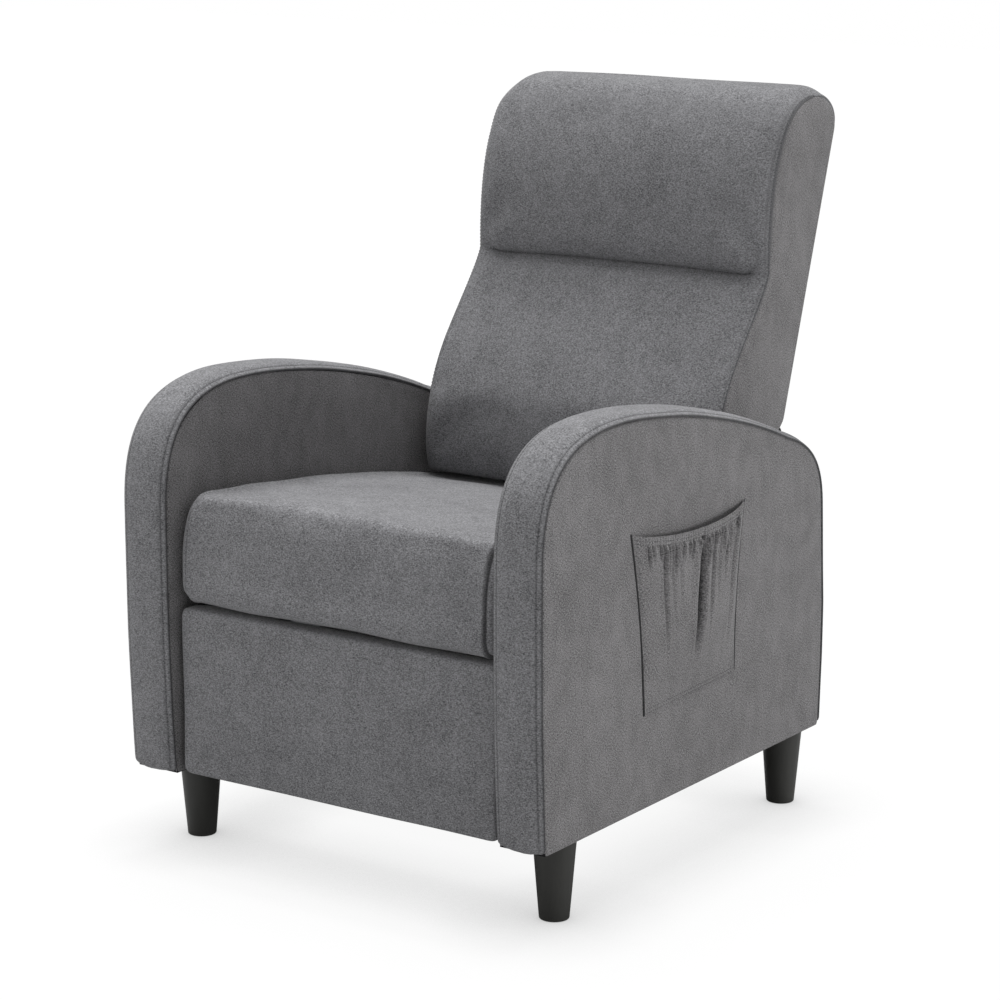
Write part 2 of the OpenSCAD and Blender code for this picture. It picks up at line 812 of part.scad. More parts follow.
foot_flange_w = 26;
foot_plate_z = 240;
foot_plate_h = 80;
foot_screw_z = [foot_plate_z + 15, foot_plate_z + foot_plate_h - 15];
module footrest_bracket(side) {
    color(paint) difference() {
        union() {
            on_side(side, layer_1, layer_1 + plate_t) {
                bar(bracket_end, control_front, link_w + 2);
                translate([board_back, foot_plate_z])
                    square([control_front[0] - board_back, foot_plate_h]);
            }
            on_side(side, layer_1 - foot_flange_w, layer_1 + plate_t)
                translate([board_back, foot_plate_z]) square([plate_t, foot_plate_h]);
        }
        on_side(side, layer_1 - 1, layer_1 + plate_t + 1) {
            bore(bracket_end);
            bore(control_front);
        }
        footrest_screw_bores(board_back - 1, board_back + plate_t + 1);
    }
}

module footrest_bracket_left() { footrest_bracket(1); }
module footrest_bracket_right() { footrest_bracket(-1); }

foot_screw_x = layer_1 - foot_flange_w / 2;
module footrest_screw_bores(y0, y1) {
    for (side = [1, -1], z = foot_screw_z) translate([side * foot_screw_x, y0, z])
        rotate([-90, 0, 0]) cylinder(r = screw_r + bolt_hole, h = y1 - y0);
}

module footrest_screws() {
    color(steel) for (side = [1, -1], z = foot_screw_z) translate([side * foot_screw_x, 0, z]) rotate([-90, 0, 0]) {
        translate([0, 0, board_back - board_t + 3]) cylinder(r = screw_r, h = board_t + plate_t - 2);
        translate([0, 0, board_back + plate_t + seat_clear / 2]) cylinder(r = screw_r + 2, h = 2);
    }
}

module footrest_pins() {
    color(steel) for (side = [1, -1]) pin(side, control_front, layer_2, layer_1 + plate_t);
}

arm_frame_left();
arm_frame_right();
arm_band_left();
arm_band_right();
arm_outer_panel_left();
arm_outer_panel_right();
arm_inner_panel_left();
arm_inner_panel_right();
leg_front_left();
leg_front_right();
leg_rear_left();
leg_rear_right();
leg_bolts();
front_stretcher();
rear_rails();
rear_panel();
base_rail_left();
base_rail_right();
rail_bolts();
side_pocket();
carriage_left();
carriage_right();
glide_blocks();
seat_pins();
carriage_screws();
seat_side_rail_left();
seat_side_rail_right();
seat_front_rail();
seat_rear_rail();
seat_springs();
seat_cushion();
back_post_left();
back_post_right();
back_top_rail();
back_lower_rail();
back_straps();
lumbar_cushion();
head_cushion();
back_side_left();
back_side_right();
back_cover();
back_gusset();
back_bracket_left();
back_bracket_right();
back_fasteners();
drive_links();
front_links();
cross_tube();
front_link_pins();
rear_links();
rear_link_pins();
carrier_links();
carrier_pins();
control_links();
footrest_board();
footrest_pad();
footrest_bracket_left();
footrest_bracket_right();
footrest_screws();
footrest_pins();
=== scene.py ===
import math

import bpy
import numpy as np
from mathutils import Matrix, Vector


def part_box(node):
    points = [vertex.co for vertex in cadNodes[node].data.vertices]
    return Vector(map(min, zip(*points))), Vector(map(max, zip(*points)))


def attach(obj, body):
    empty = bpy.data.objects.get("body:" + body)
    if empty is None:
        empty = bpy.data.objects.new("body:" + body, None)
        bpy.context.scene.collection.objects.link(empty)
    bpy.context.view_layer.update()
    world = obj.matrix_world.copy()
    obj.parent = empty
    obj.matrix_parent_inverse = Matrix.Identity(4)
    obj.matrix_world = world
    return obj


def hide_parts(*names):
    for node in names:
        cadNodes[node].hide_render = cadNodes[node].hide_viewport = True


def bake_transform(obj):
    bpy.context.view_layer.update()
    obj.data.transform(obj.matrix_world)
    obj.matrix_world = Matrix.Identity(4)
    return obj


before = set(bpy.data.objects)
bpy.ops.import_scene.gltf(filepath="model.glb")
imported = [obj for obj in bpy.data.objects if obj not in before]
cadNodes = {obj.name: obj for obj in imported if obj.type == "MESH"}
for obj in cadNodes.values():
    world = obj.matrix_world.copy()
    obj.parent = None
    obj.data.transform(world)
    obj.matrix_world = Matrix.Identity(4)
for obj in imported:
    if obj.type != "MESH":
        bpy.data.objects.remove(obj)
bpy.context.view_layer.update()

# Push-back recliner armchair: upholstery, legs, mechanism finishes, studio.
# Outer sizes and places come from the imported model's boxes, and the numbers here shape the soft forms
# between them. Metres, the chair faces -Y.
scene = bpy.context.scene
mm = 0.001
sides = {"left": 1, "right": -1}
print("frame loaded, nodes:", len(cadNodes))


def bezier(a, b, c, d, steps=12):
    t = np.linspace(0, 1, steps + 1)[1:, None]
    a, b, c, d = (np.array(p, float) for p in (a, b, c, d))
    return (1 - t) ** 3 * a + 3 * (1 - t) ** 2 * t * b + 3 * (1 - t) * t * t * c + t ** 3 * d


def run(*parts):
    # joins points and curves into one line
    return np.vstack([np.atleast_2d(np.array(p, float)) for p in parts])


def lengths(points):
    return np.concatenate([[0], np.cumsum(np.linalg.norm(np.diff(points, axis=0), axis=1))])


def evenly(points, spacing, closed=False):
    # the same line with points a fixed distance apart
    if closed:
        points = np.vstack([points, points[:1]])
    along = lengths(points)
    count = max(4, int(round(along[-1] / spacing)))
    at = np.linspace(0, along[-1], count + 1)
    if closed:
        at = at[:-1]
    return np.stack([np.interp(at, along, points[:, k]) for k in range(points.shape[1])], 1)


def softened(values, rounds=2, closed=False):
    for _ in range(rounds):
        if closed:
            values = (np.roll(values, 1, 0) + 2 * values + np.roll(values, -1, 0)) / 4
        else:
            middle = (values[:-2] + 2 * values[1:-1] + values[2:]) / 4
            values = np.vstack([values[:1], middle, values[-1:]])
    return values


def outward(points, closed=False, rounds=2):
    # unit normals to the left of a [y, z] line
    if closed:
        step = np.roll(points, -1, 0) - np.roll(points, 1, 0)
    else:
        step = np.gradient(points, axis=0)
    normal = np.stack([-step[:, 1], step[:, 0]], 1)
    normal /= np.linalg.norm(normal, axis=1)[:, None] + 1e-12
    normal = softened(normal, rounds, closed)
    return normal / np.linalg.norm(normal, axis=1)[:, None]


def smooth(t):
    t = np.clip(t, 0, 1)
    return t * t * (3 - 2 * t)


def bell(distance, width, power=2):
    # 1 at the place itself and fading away from it
    return np.exp(-(distance / width) ** power)


def quarter(t):
    # the fall of a quarter circle, from 0 to 1
    return 1 - np.sqrt(1 - np.clip(t, 0, 1) ** 2)


def wander(points, size, seed):
    # soft unevenness between about -1 and 1, the same on every run
    rng = np.random.default_rng(seed)
    total = np.zeros(points.shape[:-1])
    for _ in range(7):
        heading = rng.normal(size=3)
        heading /= np.linalg.norm(heading)
        waves = 2 * math.pi / size * rng.uniform(0.6, 1.5)
        total += np.sin(points @ heading * waves + rng.uniform(0, 6.3))
    return total / 3.5


def newPiece(name, points, faces, material):
    mesh = bpy.data.meshes.new(name)
    mesh.from_pydata([tuple(p) for p in points], [], faces)
    mesh.validate()
    mesh.update()
    mesh.polygons.foreach_set("use_smooth", [True] * len(mesh.polygons))
    mesh.materials.append(material)
    piece = bpy.data.objects.new(name, mesh)
    scene.collection.objects.link(piece)
    return piece


def gridFaces(rows, cols, closed=False, first=0):
    faces = []
    last = cols if closed else cols - 1
    for i in range(rows - 1):
        for j in range(last):
            k = (j + 1) % cols
            faces.append((first + i * cols + j, first + i * cols + k,
                          first + (i + 1) * cols + k, first + (i + 1) * cols + j))
    return faces


def tube(name, rings, material, flip=False):
    # a closed form lofted through closed rings, each end bridged from one half of its ring to the other
    rows, cols = rings.shape[:2]
    points = rings.reshape(-1, 3)
    faces = gridFaces(rows, cols, closed=True)
    for first, backwards in ((0, True), ((rows - 1) * cols, False)):
        for j in range((cols - 1) // 2):
            a, b, c, d = j, j + 1, cols - 2 - j, cols - 1 - j
            quad = [first + k for k in ((a, b, c, d) if b != c else (a, b, d))]
            faces.append(tuple(reversed(quad)) if backwards else tuple(quad))
    if flip:
        faces = [f[::-1] for f in faces]
    return newPiece(name, points, faces, material)


def subdivided(piece, levels=1):
    modifier = piece.modifiers.new("smoothing", "SUBSURF")
    modifier.levels = modifier.render_levels = levels
    return piece


def meshPoints(mesh):
    co = np.zeros(len(mesh.vertices) * 3)
    mesh.vertices.foreach_get("co", co)
    return co.reshape(-1, 3)


def shaded(piece, values):
    # painted shade: how far each point of the cloth is darkened as if in the shade of a fold or seam, from 0 to 1
    shade = piece.data.attributes.new("shade", "FLOAT", "POINT")
    shade.data.foreach_set("value", np.clip(values, 0, 1).ravel())


def inflate(piece, pinned, pressure=4.0, cap=0.02, frames=20, bending=6.0):
    # cloth pressure swells the cover between its held edges, then the result is written into the mesh
    rest = meshPoints(piece.data)
    group = piece.vertex_groups.new(name="held")
    for i, weight in enumerate(pinned):
        if weight > 0.01:
            group.add([i], float(weight), "REPLACE")
    modifier = piece.modifiers.new("swell", "CLOTH")
    cloth = modifier.settings
    cloth.quality = 6
    cloth.mass = 0.3
    cloth.tension_stiffness = cloth.compression_stiffness = 18
    cloth.shear_stiffness = 8
    cloth.bending_stiffness = bending
    cloth.use_pressure = True
    cloth.uniform_pressure_force = pressure
    cloth.vertex_group_mass = "held"
    cloth.effector_weights.gravity = 0
    modifier.collision_settings.use_collision = False
    for number in range(1, frames + 1):
        scene.frame_set(number)
    ready = piece.evaluated_get(bpy.context.evaluated_depsgraph_get())
    moved = meshPoints(ready.data)
    scene.frame_set(1)
    piece.modifiers.remove(modifier)
    piece.vertex_groups.remove(group)
    travel = moved - rest
    size = np.linalg.norm(travel, axis=1)
    limit = cap * np.tanh(size / cap)
    travel *= (limit / np.maximum(size, 1e-9))[:, None]
    piece.data.vertices.foreach_set("co", (rest + travel).ravel())
    piece.data.update()
    print("swelled", piece.name, "by up to", round(1000 * float(limit.max()), 1), "mm")


def rgb(r, g, b):
    # display values to the linear ones that a shader takes
    return tuple(((c / 255 + 0.055) / 1.055) ** 2.4 if c > 10 else c / 255 / 12.92 for c in (r, g, b)) + (1.0,)


def wire(tree, a, b):
    tree.links.new(a, b)


def give(tree, socket, value):
    # a socket takes another node's output or a fixed value
    if isinstance(value, bpy.types.NodeSocket):
        wire(tree, value, socket)
    elif value is not None:
        socket.default_value = value


def addNode(tree, kind, **values):
    node = tree.nodes.new(kind)
    for key, value in values.items():
        setattr(node, key, value)
    return node


def groupSockets(group, inputs, outputs):
    for name, kind, value in inputs:
        socket = group.interface.new_socket(name, in_out="INPUT", socket_type=kind)
        if value is not None:
            socket.default_value = value
    for name, kind in outputs:
        group.interface.new_socket(name, in_out="OUTPUT", socket_type=kind)
    return addNode(group, "NodeGroupInput"), addNode(group, "NodeGroupOutput")


def math2(tree, operation, a, b=None, clamp=False):
    node = addNode(tree, "ShaderNodeMath", operation=operation, use_clamp=clamp)
    for socket, value in zip(node.inputs, (a, b)):
        give(tree, socket, value)
    return node.outputs[0]


def plus(tree, first, *others):
    for other in others:
        first = math2(tree, "ADD", first, other)
    return first


def times(tree, a, b):
    return math2(tree, "MULTIPLY", a, b)


def centred(tree, value, gain):
    return times(tree, math2(tree, "SUBTRACT", value, 0.5), gain)


def noiseField(tree, place, scale=1.0, detail=0.0, rough=0.5):
    node = addNode(tree, "ShaderNodeTexNoise")
    for key, value in (("Vector", place), ("Scale", scale), ("Detail", detail), ("Roughness", rough)):
        give(tree, node.inputs[key], value)
    return node.outputs["Fac"]


def mixedColour(tree, factor, a, b):
    node = addNode(tree, "ShaderNodeMix", data_type="RGBA")
    for socket, value in zip((node.inputs["Factor"], node.inputs[6], node.inputs[7]), (factor, a, b)):
        give(tree, socket, value)
    return node.outputs[2]


def apart(tree, vector):
    node = addNode(tree, "ShaderNodeSeparateXYZ")
    wire(tree, vector, node.inputs[0])
    return node.outputs


def joined(tree, *values):
    node = addNode(tree, "ShaderNodeCombineXYZ")
    for socket, value in zip(node.inputs, values):
        give(tree, socket, value)
    return node.outputs[0]


def mapped(tree, place, key, value):
    node = addNode(tree, "ShaderNodeMapping")
    node.inputs[key].default_value = value
    wire(tree, place, node.inputs["Vector"])
    return node.outputs["Vector"]


weaveSettings = {
    "fleck": (2.7 * mm, 0.85 * mm), "slub": (0.85 * mm, 2.4 * mm),  # across and up
    "warp": 1.5 * mm, "weft": 1.3 * mm, "fleckGain": 1.05, "slubGain": 0.8, "napGain": 0.30, "cloudGain": 0.26,
    "napScale": (42, 42, 30), "cloudScale": 8.0, "weaveHeight": 0.16, "speckHeight": 0.7,
    "rough": 0.94, "roughFall": 0.12, "shadow": rgb(12, 12, 13),
}


def heatheredGroup():
    # woven cloth with light and dark flecks, a soft nap and a raised weave, laid on by the surface's direction
    group = bpy.data.node_groups.new("heatheredCloth", "ShaderNodeTree")
    start, end = groupSockets(group, [
        ("Dark", "NodeSocketColor", rgb(80, 81, 84)),
        ("Light", "NodeSocketColor", rgb(150, 151, 154)),
        ("Fleck", "NodeSocketFloat", 1.0),
        ("Nap", "NodeSocketFloat", 1.0),
        ("Thread Size", "NodeSocketFloat", 1.0)], [
        ("Color", "NodeSocketColor"), ("Roughness", "NodeSocketFloat"), ("Height", "NodeSocketFloat")])
    where = addNode(group, "ShaderNodeTexCoord")
    facing = apart(group, where.outputs["Normal"])
    weights = [math2(group, "POWER", math2(group, "ABSOLUTE", facing[k]), 6.0) for k in range(3)]
    total = plus(group, *weights)
    weights = [math2(group, "DIVIDE", w, total) for w in weights]
    # across the surface first, up it second, for the three directions
    turns = ((0, 0, math.radians(-90)), (0, 0, 0), (math.radians(-90), 0, 0))
    flecks, slubs, weaves = [], [], []
    for k, turn in enumerate(turns):
        flat = apart(group, mapped(group, where.outputs["Object"], "Rotation", turn))
        across, up = (math2(group, "DIVIDE", flat[axis], start.outputs["Thread Size"]) for axis in (0, 2))
        layer = 7.3 * k

        def specks(size, seed):
            place = joined(group, times(group, across, 1 / size[0]), times(group, up, 1 / size[1]), layer + seed)
            return noiseField(group, place, rough=0.6)

        flecks.append(specks(weaveSettings["fleck"], 0.0))
        slubs.append(specks(weaveSettings["slub"], 31.0))
        weaves.append(times(group, *(
            math2(group, "SINE", times(group, place, 2 * math.pi / weaveSettings[key]))
            for place, key in ((across, "warp"), (up, "weft")))))

    fleck, slub, weave = (
        plus(group, *(times(group, v, w) for v, w in zip(values, weights))) for values in (flecks, slubs, weaves))
    # brushed patches, a little taller than wide, and larger clouds
    nap = noiseField(group, mapped(group, where.outputs["Object"], "Scale", weaveSettings["napScale"]), detail=3.0)
    cloud = noiseField(group, where.outputs["Object"], weaveSettings["cloudScale"], 2.0)
    specked = plus(group, centred(group, fleck, weaveSettings["fleckGain"]),
                   centred(group, slub, weaveSettings["slubGain"]))
    speck = times(group, specked, start.outputs["Fleck"])
    brushed = plus(group, centred(group, nap, weaveSettings["napGain"]),
                   centred(group, cloud, weaveSettings["cloudGain"]))
    brushed = times(group, brushed, start.outputs["Nap"])
    tone = math2(group, "ADD", plus(group, speck, brushed), 0.5, clamp=True)
    colour = mixedColour(group, tone, start.outputs["Dark"], start.outputs["Light"])
    # painted shade: cloth deep in folds, creases and seams is darkened towards the shadow colour by the pieces' own
    # 'shade' value, 0 where they have none
    paintedShade = addNode(group, "ShaderNodeAttribute", attribute_name="shade")
    wire(group, mixedColour(group, paintedShade.outputs["Fac"], colour, weaveSettings["shadow"]), end.inputs["Color"])
    rough = math2(group, "SUBTRACT", weaveSettings["rough"], times(group, tone, weaveSettings["roughFall"]))
    wire(group, rough, end.inputs["Roughness"])
    height = plus(group, times(group, weave, weaveSettings["weaveHeight"]),
                  times(group, speck, weaveSettings["speckHeight"]))
    wire(group, height, end.inputs["Height"])
    return group


def wornGroup():
    # fine scratches and uneven dulling for metal, plastic and paint
    group = bpy.data.node_groups.new("wornSurface", "ShaderNodeTree")
    start, end = groupSockets(group, [
        ("Color", "NodeSocketColor", (0.2, 0.2, 0.2, 1)),
        ("Worn Color", "NodeSocketColor", (0.3, 0.3, 0.3, 1)),
        ("Roughness", "NodeSocketFloat", 0.4),
        ("Scale", "NodeSocketFloat", 40.0),
        ("Grain Along Z", "NodeSocketFloat", 1.0)], [
        ("Color", "NodeSocketColor"), ("Roughness", "NodeSocketFloat"), ("Height", "NodeSocketFloat")])
    where = addNode(group, "ShaderNodeTexCoord")
    x, y, z = apart(group, where.outputs["Object"])
    place = joined(group, x, y, times(group, z, start.outputs["Grain Along Z"]))
    clouds = noiseField(group, place, start.outputs["Scale"], 4.0)
    fine = noiseField(group, place, times(group, start.outputs["Scale"], 22.0), 2.0)
    patch = addNode(group, "ShaderNodeMapRange")
    patch.inputs["From Min"].default_value = 0.42
    patch.inputs["From Max"].default_value = 0.72
    wire(group, clouds, patch.inputs["Value"])
    colour = mixedColour(group, patch.outputs[0], start.outputs["Color"], start.outputs["Worn Color"])
    wire(group, colour, end.inputs["Color"])
    rough = math2(group, "ADD", start.outputs["Roughness"], centred(group, clouds, 0.25), clamp=True)
    wire(group, rough, end.inputs["Roughness"])
    wire(group, plus(group, fine, times(group, clouds, 0.5)), end.inputs["Height"])
    return group


heathered = heatheredGroup()
worn = wornGroup()


def finish(name, group, values, shader, bump, distance):
    # one Principled material fed by a shared group
    material = bpy.data.materials.new(name)
    material.use_nodes = True
    tree = material.node_tree
    surface = tree.nodes["Principled BSDF"]
    effect = addNode(tree, "ShaderNodeGroup", node_tree=group)
    for key, value in values.items():
        effect.inputs[key].default_value = value
    for key, value in shader.items():
        surface.inputs[key].default_value = value
    wire(tree, effect.outputs["Color"], surface.inputs["Base Color"])
    wire(tree, effect.outputs["Roughness"], surface.inputs["Roughness"])
    relief = addNode(tree, "ShaderNodeBump")
    relief.inputs["Strength"].default_value = bump
    relief.inputs["Distance"].default_value = distance
    wire(tree, effect.outputs["Height"], relief.inputs["Height"])
    wire(tree, relief.outputs[0], surface.inputs["Normal"])
    return material


clothSettings = {
    "dark": rgb(76, 76, 78), "light": rgb(160, 160, 163),
    "sheen": 0.16, "sheenRoughness": 0.45, "specular": 0.25, "bump": 0.5, "bumpDepth": 0.6 * mm,
}


def clothFinish(name, shift=1.0, warm=0.0, nap=1.0, fleck=1.0):
    # shift scales both tones, warm moves them from blue to red
    tone = [tuple(c * shift * (1 + warm * w) for c, w in zip(clothSettings[key], (1, 0, -1))) + (1.0,)
            for key in ("dark", "light")]
    return finish(name, heathered, {"Dark": tone[0], "Light": tone[1], "Fleck": fleck, "Nap": nap}, {
        "Sheen Weight": clothSettings["sheen"], "Sheen Roughness": clothSettings["sheenRoughness"],
        "Specular IOR Level": clothSettings["specular"]}, clothSettings["bump"], clothSettings["bumpDepth"])


greyCloth = clothFinish("greyCloth", fleck=1.15)
panelCloth = clothFinish("panelCloth", warm=0.024, nap=1.3, fleck=1.5)
threadFinish = finish("greyThread", worn, {
    "Color": rgb(66, 66, 68), "Worn Color": rgb(88, 88, 90), "Roughness": 0.8, "Scale": 300.0}, {
    "Sheen Weight": 0.1}, 0.2, 0.0002)
# painted shade: the grey cloth at a sixth of its brightness, for the dark lines along the pocket's edges
shadeCloth = clothFinish("paintedShadeCloth", 0.16)
# black lining for the back's gusset, also used as painted shade on frame parts seen through gaps
blackCloth = finish("blackLiningAndShade", heathered, {
    "Dark": rgb(16, 16, 17), "Light": rgb(40, 40, 42), "Fleck": 0.8, "Nap": 0.4, "Thread Size": 0.7}, {
    "Sheen Weight": 0.05, "Specular IOR Level": 0.2}, 0.4, 0.0004)
legFinish = finish("blackLeg", worn, {
    "Color": rgb(58, 58, 56), "Worn Color": rgb(70, 70, 67), "Roughness": 0.42, "Scale": 22.0,
    "Grain Along Z": 0.12}, {"Specular IOR Level": 0.4}, 0.12, 0.0003)
steelFinish = finish("zincSteel", worn, {
    "Color": rgb(150, 152, 155), "Worn Color": rgb(186, 188, 190), "Roughness": 0.34, "Scale": 45.0}, {
    "Metallic": 1.0}, 0.08, 0.0002)
paintFinish = finish("blackPaint", worn, {
    "Color": rgb(38, 38, 40), "Worn Color": rgb(52, 52, 54), "Roughness": 0.45, "Scale": 60.0}, {}, 0.15, 0.0002)
nylonFinish = finish("glideNylon", worn, {
    "Color": rgb(214, 212, 204), "Worn Color": rgb(196, 193, 184), "Roughness": 0.5, "Scale": 60.0}, {},
    0.1, 0.0002)
timberFinish = finish("pineRail", worn, {
    "Color": rgb(196, 160, 112), "Worn Color": rgb(160, 122, 78), "Roughness": 0.62, "Scale": 14.0,
    "Grain Along Z": 1.0}, {}, 0.3, 0.0004)
webFinish = finish("elasticStrap", heathered, {
    "Dark": rgb(40, 36, 32), "Light": rgb(120, 108, 96), "Fleck": 1.2, "Nap": 0.2, "Thread Size": 1.6}, {
    "Specular IOR Level": 0.2}, 0.8, 0.0008)
print("finishes made")


stitchSettings = {
    "pitch": 5.2 * mm, "length": 3.7 * mm, "radius": 0.42 * mm, "flat": 0.8, "lift": 0.15 * mm, "endDip": 0.3 * mm,
    "sides": 6,
    "rings": ((-1.0, 0.35), (-0.7, 0.85), (0.0, 1.0), (0.7, 0.85), (1.0, 0.35)),  # place, share of the radius
}


def stitchRow(name, line, normals, body):
    # short lengths of thread lying along a line on the cloth
    along = lengths(line)
    pitch, half = stitchSettings["pitch"], stitchSettings["length"] / 2
    rings, around = stitchSettings["rings"], stitchSettings["sides"]
    places = np.array([place for place, _ in rings])
    turn = np.arange(around) * 2 * math.pi / around

    def sample(values, at):
        return np.stack([np.interp(at, along, values[:, k]) for k in range(3)], 1)

    points, faces = [], []
    for centre in (np.arange(int(along[-1] // pitch)) + 0.5) * pitch:
        here = sample(line, centre + half * places)
        up = sample(normals, np.array([centre]))[0]
        ahead = here[-1] - here[0]
        ahead /= np.linalg.norm(ahead) + 1e-12
        side = np.cross(ahead, up)
        side /= np.linalg.norm(side) + 1e-12
        up = np.cross(side, ahead)
        first = len(points)
        for p, (place, share) in zip(here, rings):
            radius = stitchSettings["radius"] * share
            lift = stitchSettings["lift"] - (stitchSettings["endDip"] if abs(place) == 1 else 0)
            points += [p + side * math.cos(a) * radius
                       + up * (math.sin(a) * radius * stitchSettings["flat"] + lift) for a in turn]
        faces += gridFaces(len(rings), around, closed=True, first=first)
        faces.append(tuple(first + k for k in reversed(range(around))))
        faces.append(tuple(first + (len(rings) - 1) * around + k for k in range(around)))
    stitches = newPiece(name, points, faces, threadFinish)
    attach(stitches, body)


armSettings = {
    "spacing": 6.5 * mm, "shoulderDrop": 94 * mm, "footStep": 10 * mm, "thick": 12.2 * mm, "curl": 9 * mm,
    "seamDrop": 9 * mm, "seamRun": 26 * mm, "stitchIn": 7.5 * mm, "stitchDeep": 0.7 * mm, "stitchWide": 1.5 * mm,
    "seamRows": (12.5, 11, 9.5, 8.5, 7.5, 6.5, 5, 3.6, 2.4),  # mm in from the seam
    "lip": ((1.2, 0.7), (0.4, 1.8), (0.6, 2.9), (2.0, 3.8)),  # mm in from the seam and down from the last row
    "waveSize": 0.16, "waveHigh": 0.5 * mm, "panelStart": 12.4 * mm, "panelDepth": 5.6 * mm, "panelDish": 0.8 * mm,
    "panelEdge": ((0, 5.2), (-0.8, 4.3), (-1.2, 3.4), (-1.3, 2.7), (-1.0, 2.0), (-0.4, 1.4), (0.6, 0.9), (1.6, 0.6),
                  (3, 0.35), (5, 0.2), (7, 0.1)),  # mm in from the start and down from the face
    "panelPuff": 1.8 * mm, "innerPuff": 1.2 * mm, "pucker": 0.4 * mm, "bareRise": 14 * mm,
    "footCorners": (5 * mm, 7 * mm), "innerTrim": 4 * mm, "outerTrim": 2 * mm,  # inner side first
    "stitchShade": 0.34, "seamShade": 0.7,
}
bandLow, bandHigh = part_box("arm_band_left")
armInner, armOuter = bandLow.x + armSettings["innerTrim"], bandHigh.x - armSettings["outerTrim"]
armMiddle, armHalf = (armInner + armOuter) / 2, (armOuter - armInner) / 2


def armLine():
    # side outline of an arm from the front foot over the top to the rear foot
    f, t, r, foot = bandLow.y, bandHigh.z, bandHigh.y, bandLow.z
    s = t - armSettings["shoulderDrop"]
    start = (f + armSettings["footStep"], foot)
    return run(
        start,
        bezier(start, (f, foot + 0.14), (f, foot + 0.26), (f, t - 0.164), 24),
        bezier((f, t - 0.164), (f, t - 0.048), (f + 0.064, t), (f + 0.18, t), 24),
        bezier((f + 0.18, t), (f + 0.323, t), (0.060, s + 0.050), (0.172, s + 0.004), 30),
        bezier((0.172, s + 0.004), (0.236, s - 0.014), (r - 0.016, s - 0.044), (r - 0.010, s - 0.104), 16),
        (r, s - 0.258), (r, foot + 0.1), (r - 4 * mm, foot))


def bandProfile():
    # across the band from the inner seam to the outer: place from its middle, and height on the outline
    reach = armSettings["seamRun"]
    close = armHalf - np.array(armSettings["seamRows"]) * mm
    across = np.concatenate([np.linspace(0, close[0] - 1.5 * mm, 8), close])
    high = -armSettings["seamDrop"] * np.clip((across - (armHalf - reach)) / reach, 0, 1) ** 2
    fromStitch = across - (armHalf - armSettings["stitchIn"])  # the topstitch pulls the cloth down
    high -= armSettings["stitchDeep"] * bell(fromStitch, armSettings["stitchWide"])
    lip = np.array(armSettings["lip"]) * mm
    across = np.concatenate([across, armHalf - lip[:, 0]])
    high = np.concatenate([high, high[-1] - lip[:, 1]])
    return np.concatenate([-across[::-1], across[1:]]), np.concatenate([high[::-1], high[1:]])


def makeArmBand(word, side):
    line = evenly(armLine(), armSettings["spacing"])
    normals = outward(line, rounds=3)
    across, high = bandProfile()
    under = -armSettings["thick"]
    backAcross = armHalf * np.array([0.75, 0.25, -0.25, -0.75])
    along = lengths(line)
    rows = []
    for p, n, s in zip(line, normals, along):
        fromEnd = min(s, along[-1] - s)
        curl = 1 - quarter(1 - fromEnd / armSettings["curl"])  # the foot of the band turns under
        level = under + (high - under) * (0.45 + 0.55 * curl)
        inside, outside = (1 - radius * quarter(1 - fromEnd / radius) / armHalf
                           for radius in armSettings["footCorners"])
        outer = np.column_stack([across * np.where(across < 0, inside, outside), p + n * level[:, None]])
        inner = np.column_stack([backAcross * inside, np.tile(p + n * under, (len(backAcross), 1))])
        rows.append(np.vstack([outer, inner]))
    rings = np.array(rows)
    bulge = wander(rings + side, armSettings["waveSize"], 11) * armSettings["waveHigh"]
    rings[..., 1:] += bulge[..., None] * normals[:, None]
    rings[..., 0] = side * (armMiddle + rings[..., 0])
    piece = tube(f"armBand_{word}", rings, greyCloth, flip=side > 0)
    # painted shade: a dark line along each topstitch, partly the thread's own colour and partly the shade of its
    # groove, and a darkening where the band turns into its seams
    fromSeam = abs(across) - armHalf
    dark = armSettings["stitchShade"] * bell(fromSeam + armSettings["stitchIn"], 1.3 * mm)
    dark += armSettings["seamShade"] * smooth((fromSeam + 3.2 * mm) / (3 * mm))
    shaded(piece, np.tile(np.concatenate([dark, np.zeros(len(backAcross))]), (len(line), 1)))
    subdivided(piece)
    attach(piece, "base")
    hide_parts(f"arm_band_{word}")
    up = np.column_stack([np.zeros(len(line)), normals])
    for edge, way in (("inner", -1), ("outer", 1)):
        column = int(np.argmin(abs(across - way * (armHalf - armSettings["stitchIn"]))))
        stitchRow(f"armStitch_{word}_{edge}", rings[3:-3, column], up[3:-3], "base")


def softGap(points, loop):
    # about the shortest way to a closed loop, but without a crease along the corners' bisectors
    span = np.linalg.norm(loop - np.roll(loop, 1, 0), axis=1)
    apart = ((points[:, None] - loop[None]) ** 2).sum(-1) + (2 * mm) ** 2
    return (math.pi / 2 / (span / apart ** 2).sum(1)) ** (1 / 3)


puffSettings = {
    "footRoll": 4 * mm, "crownRun": 70 * mm, "dishRun": 9 * mm, "waveSize": 0.19, "waveShare": 0.35,
    "puckerSize": 0.035, "puckerRun": 22 * mm, "shrinks": ((0.98, 0.52, 24), (0.46, 0.08, 6)),
}


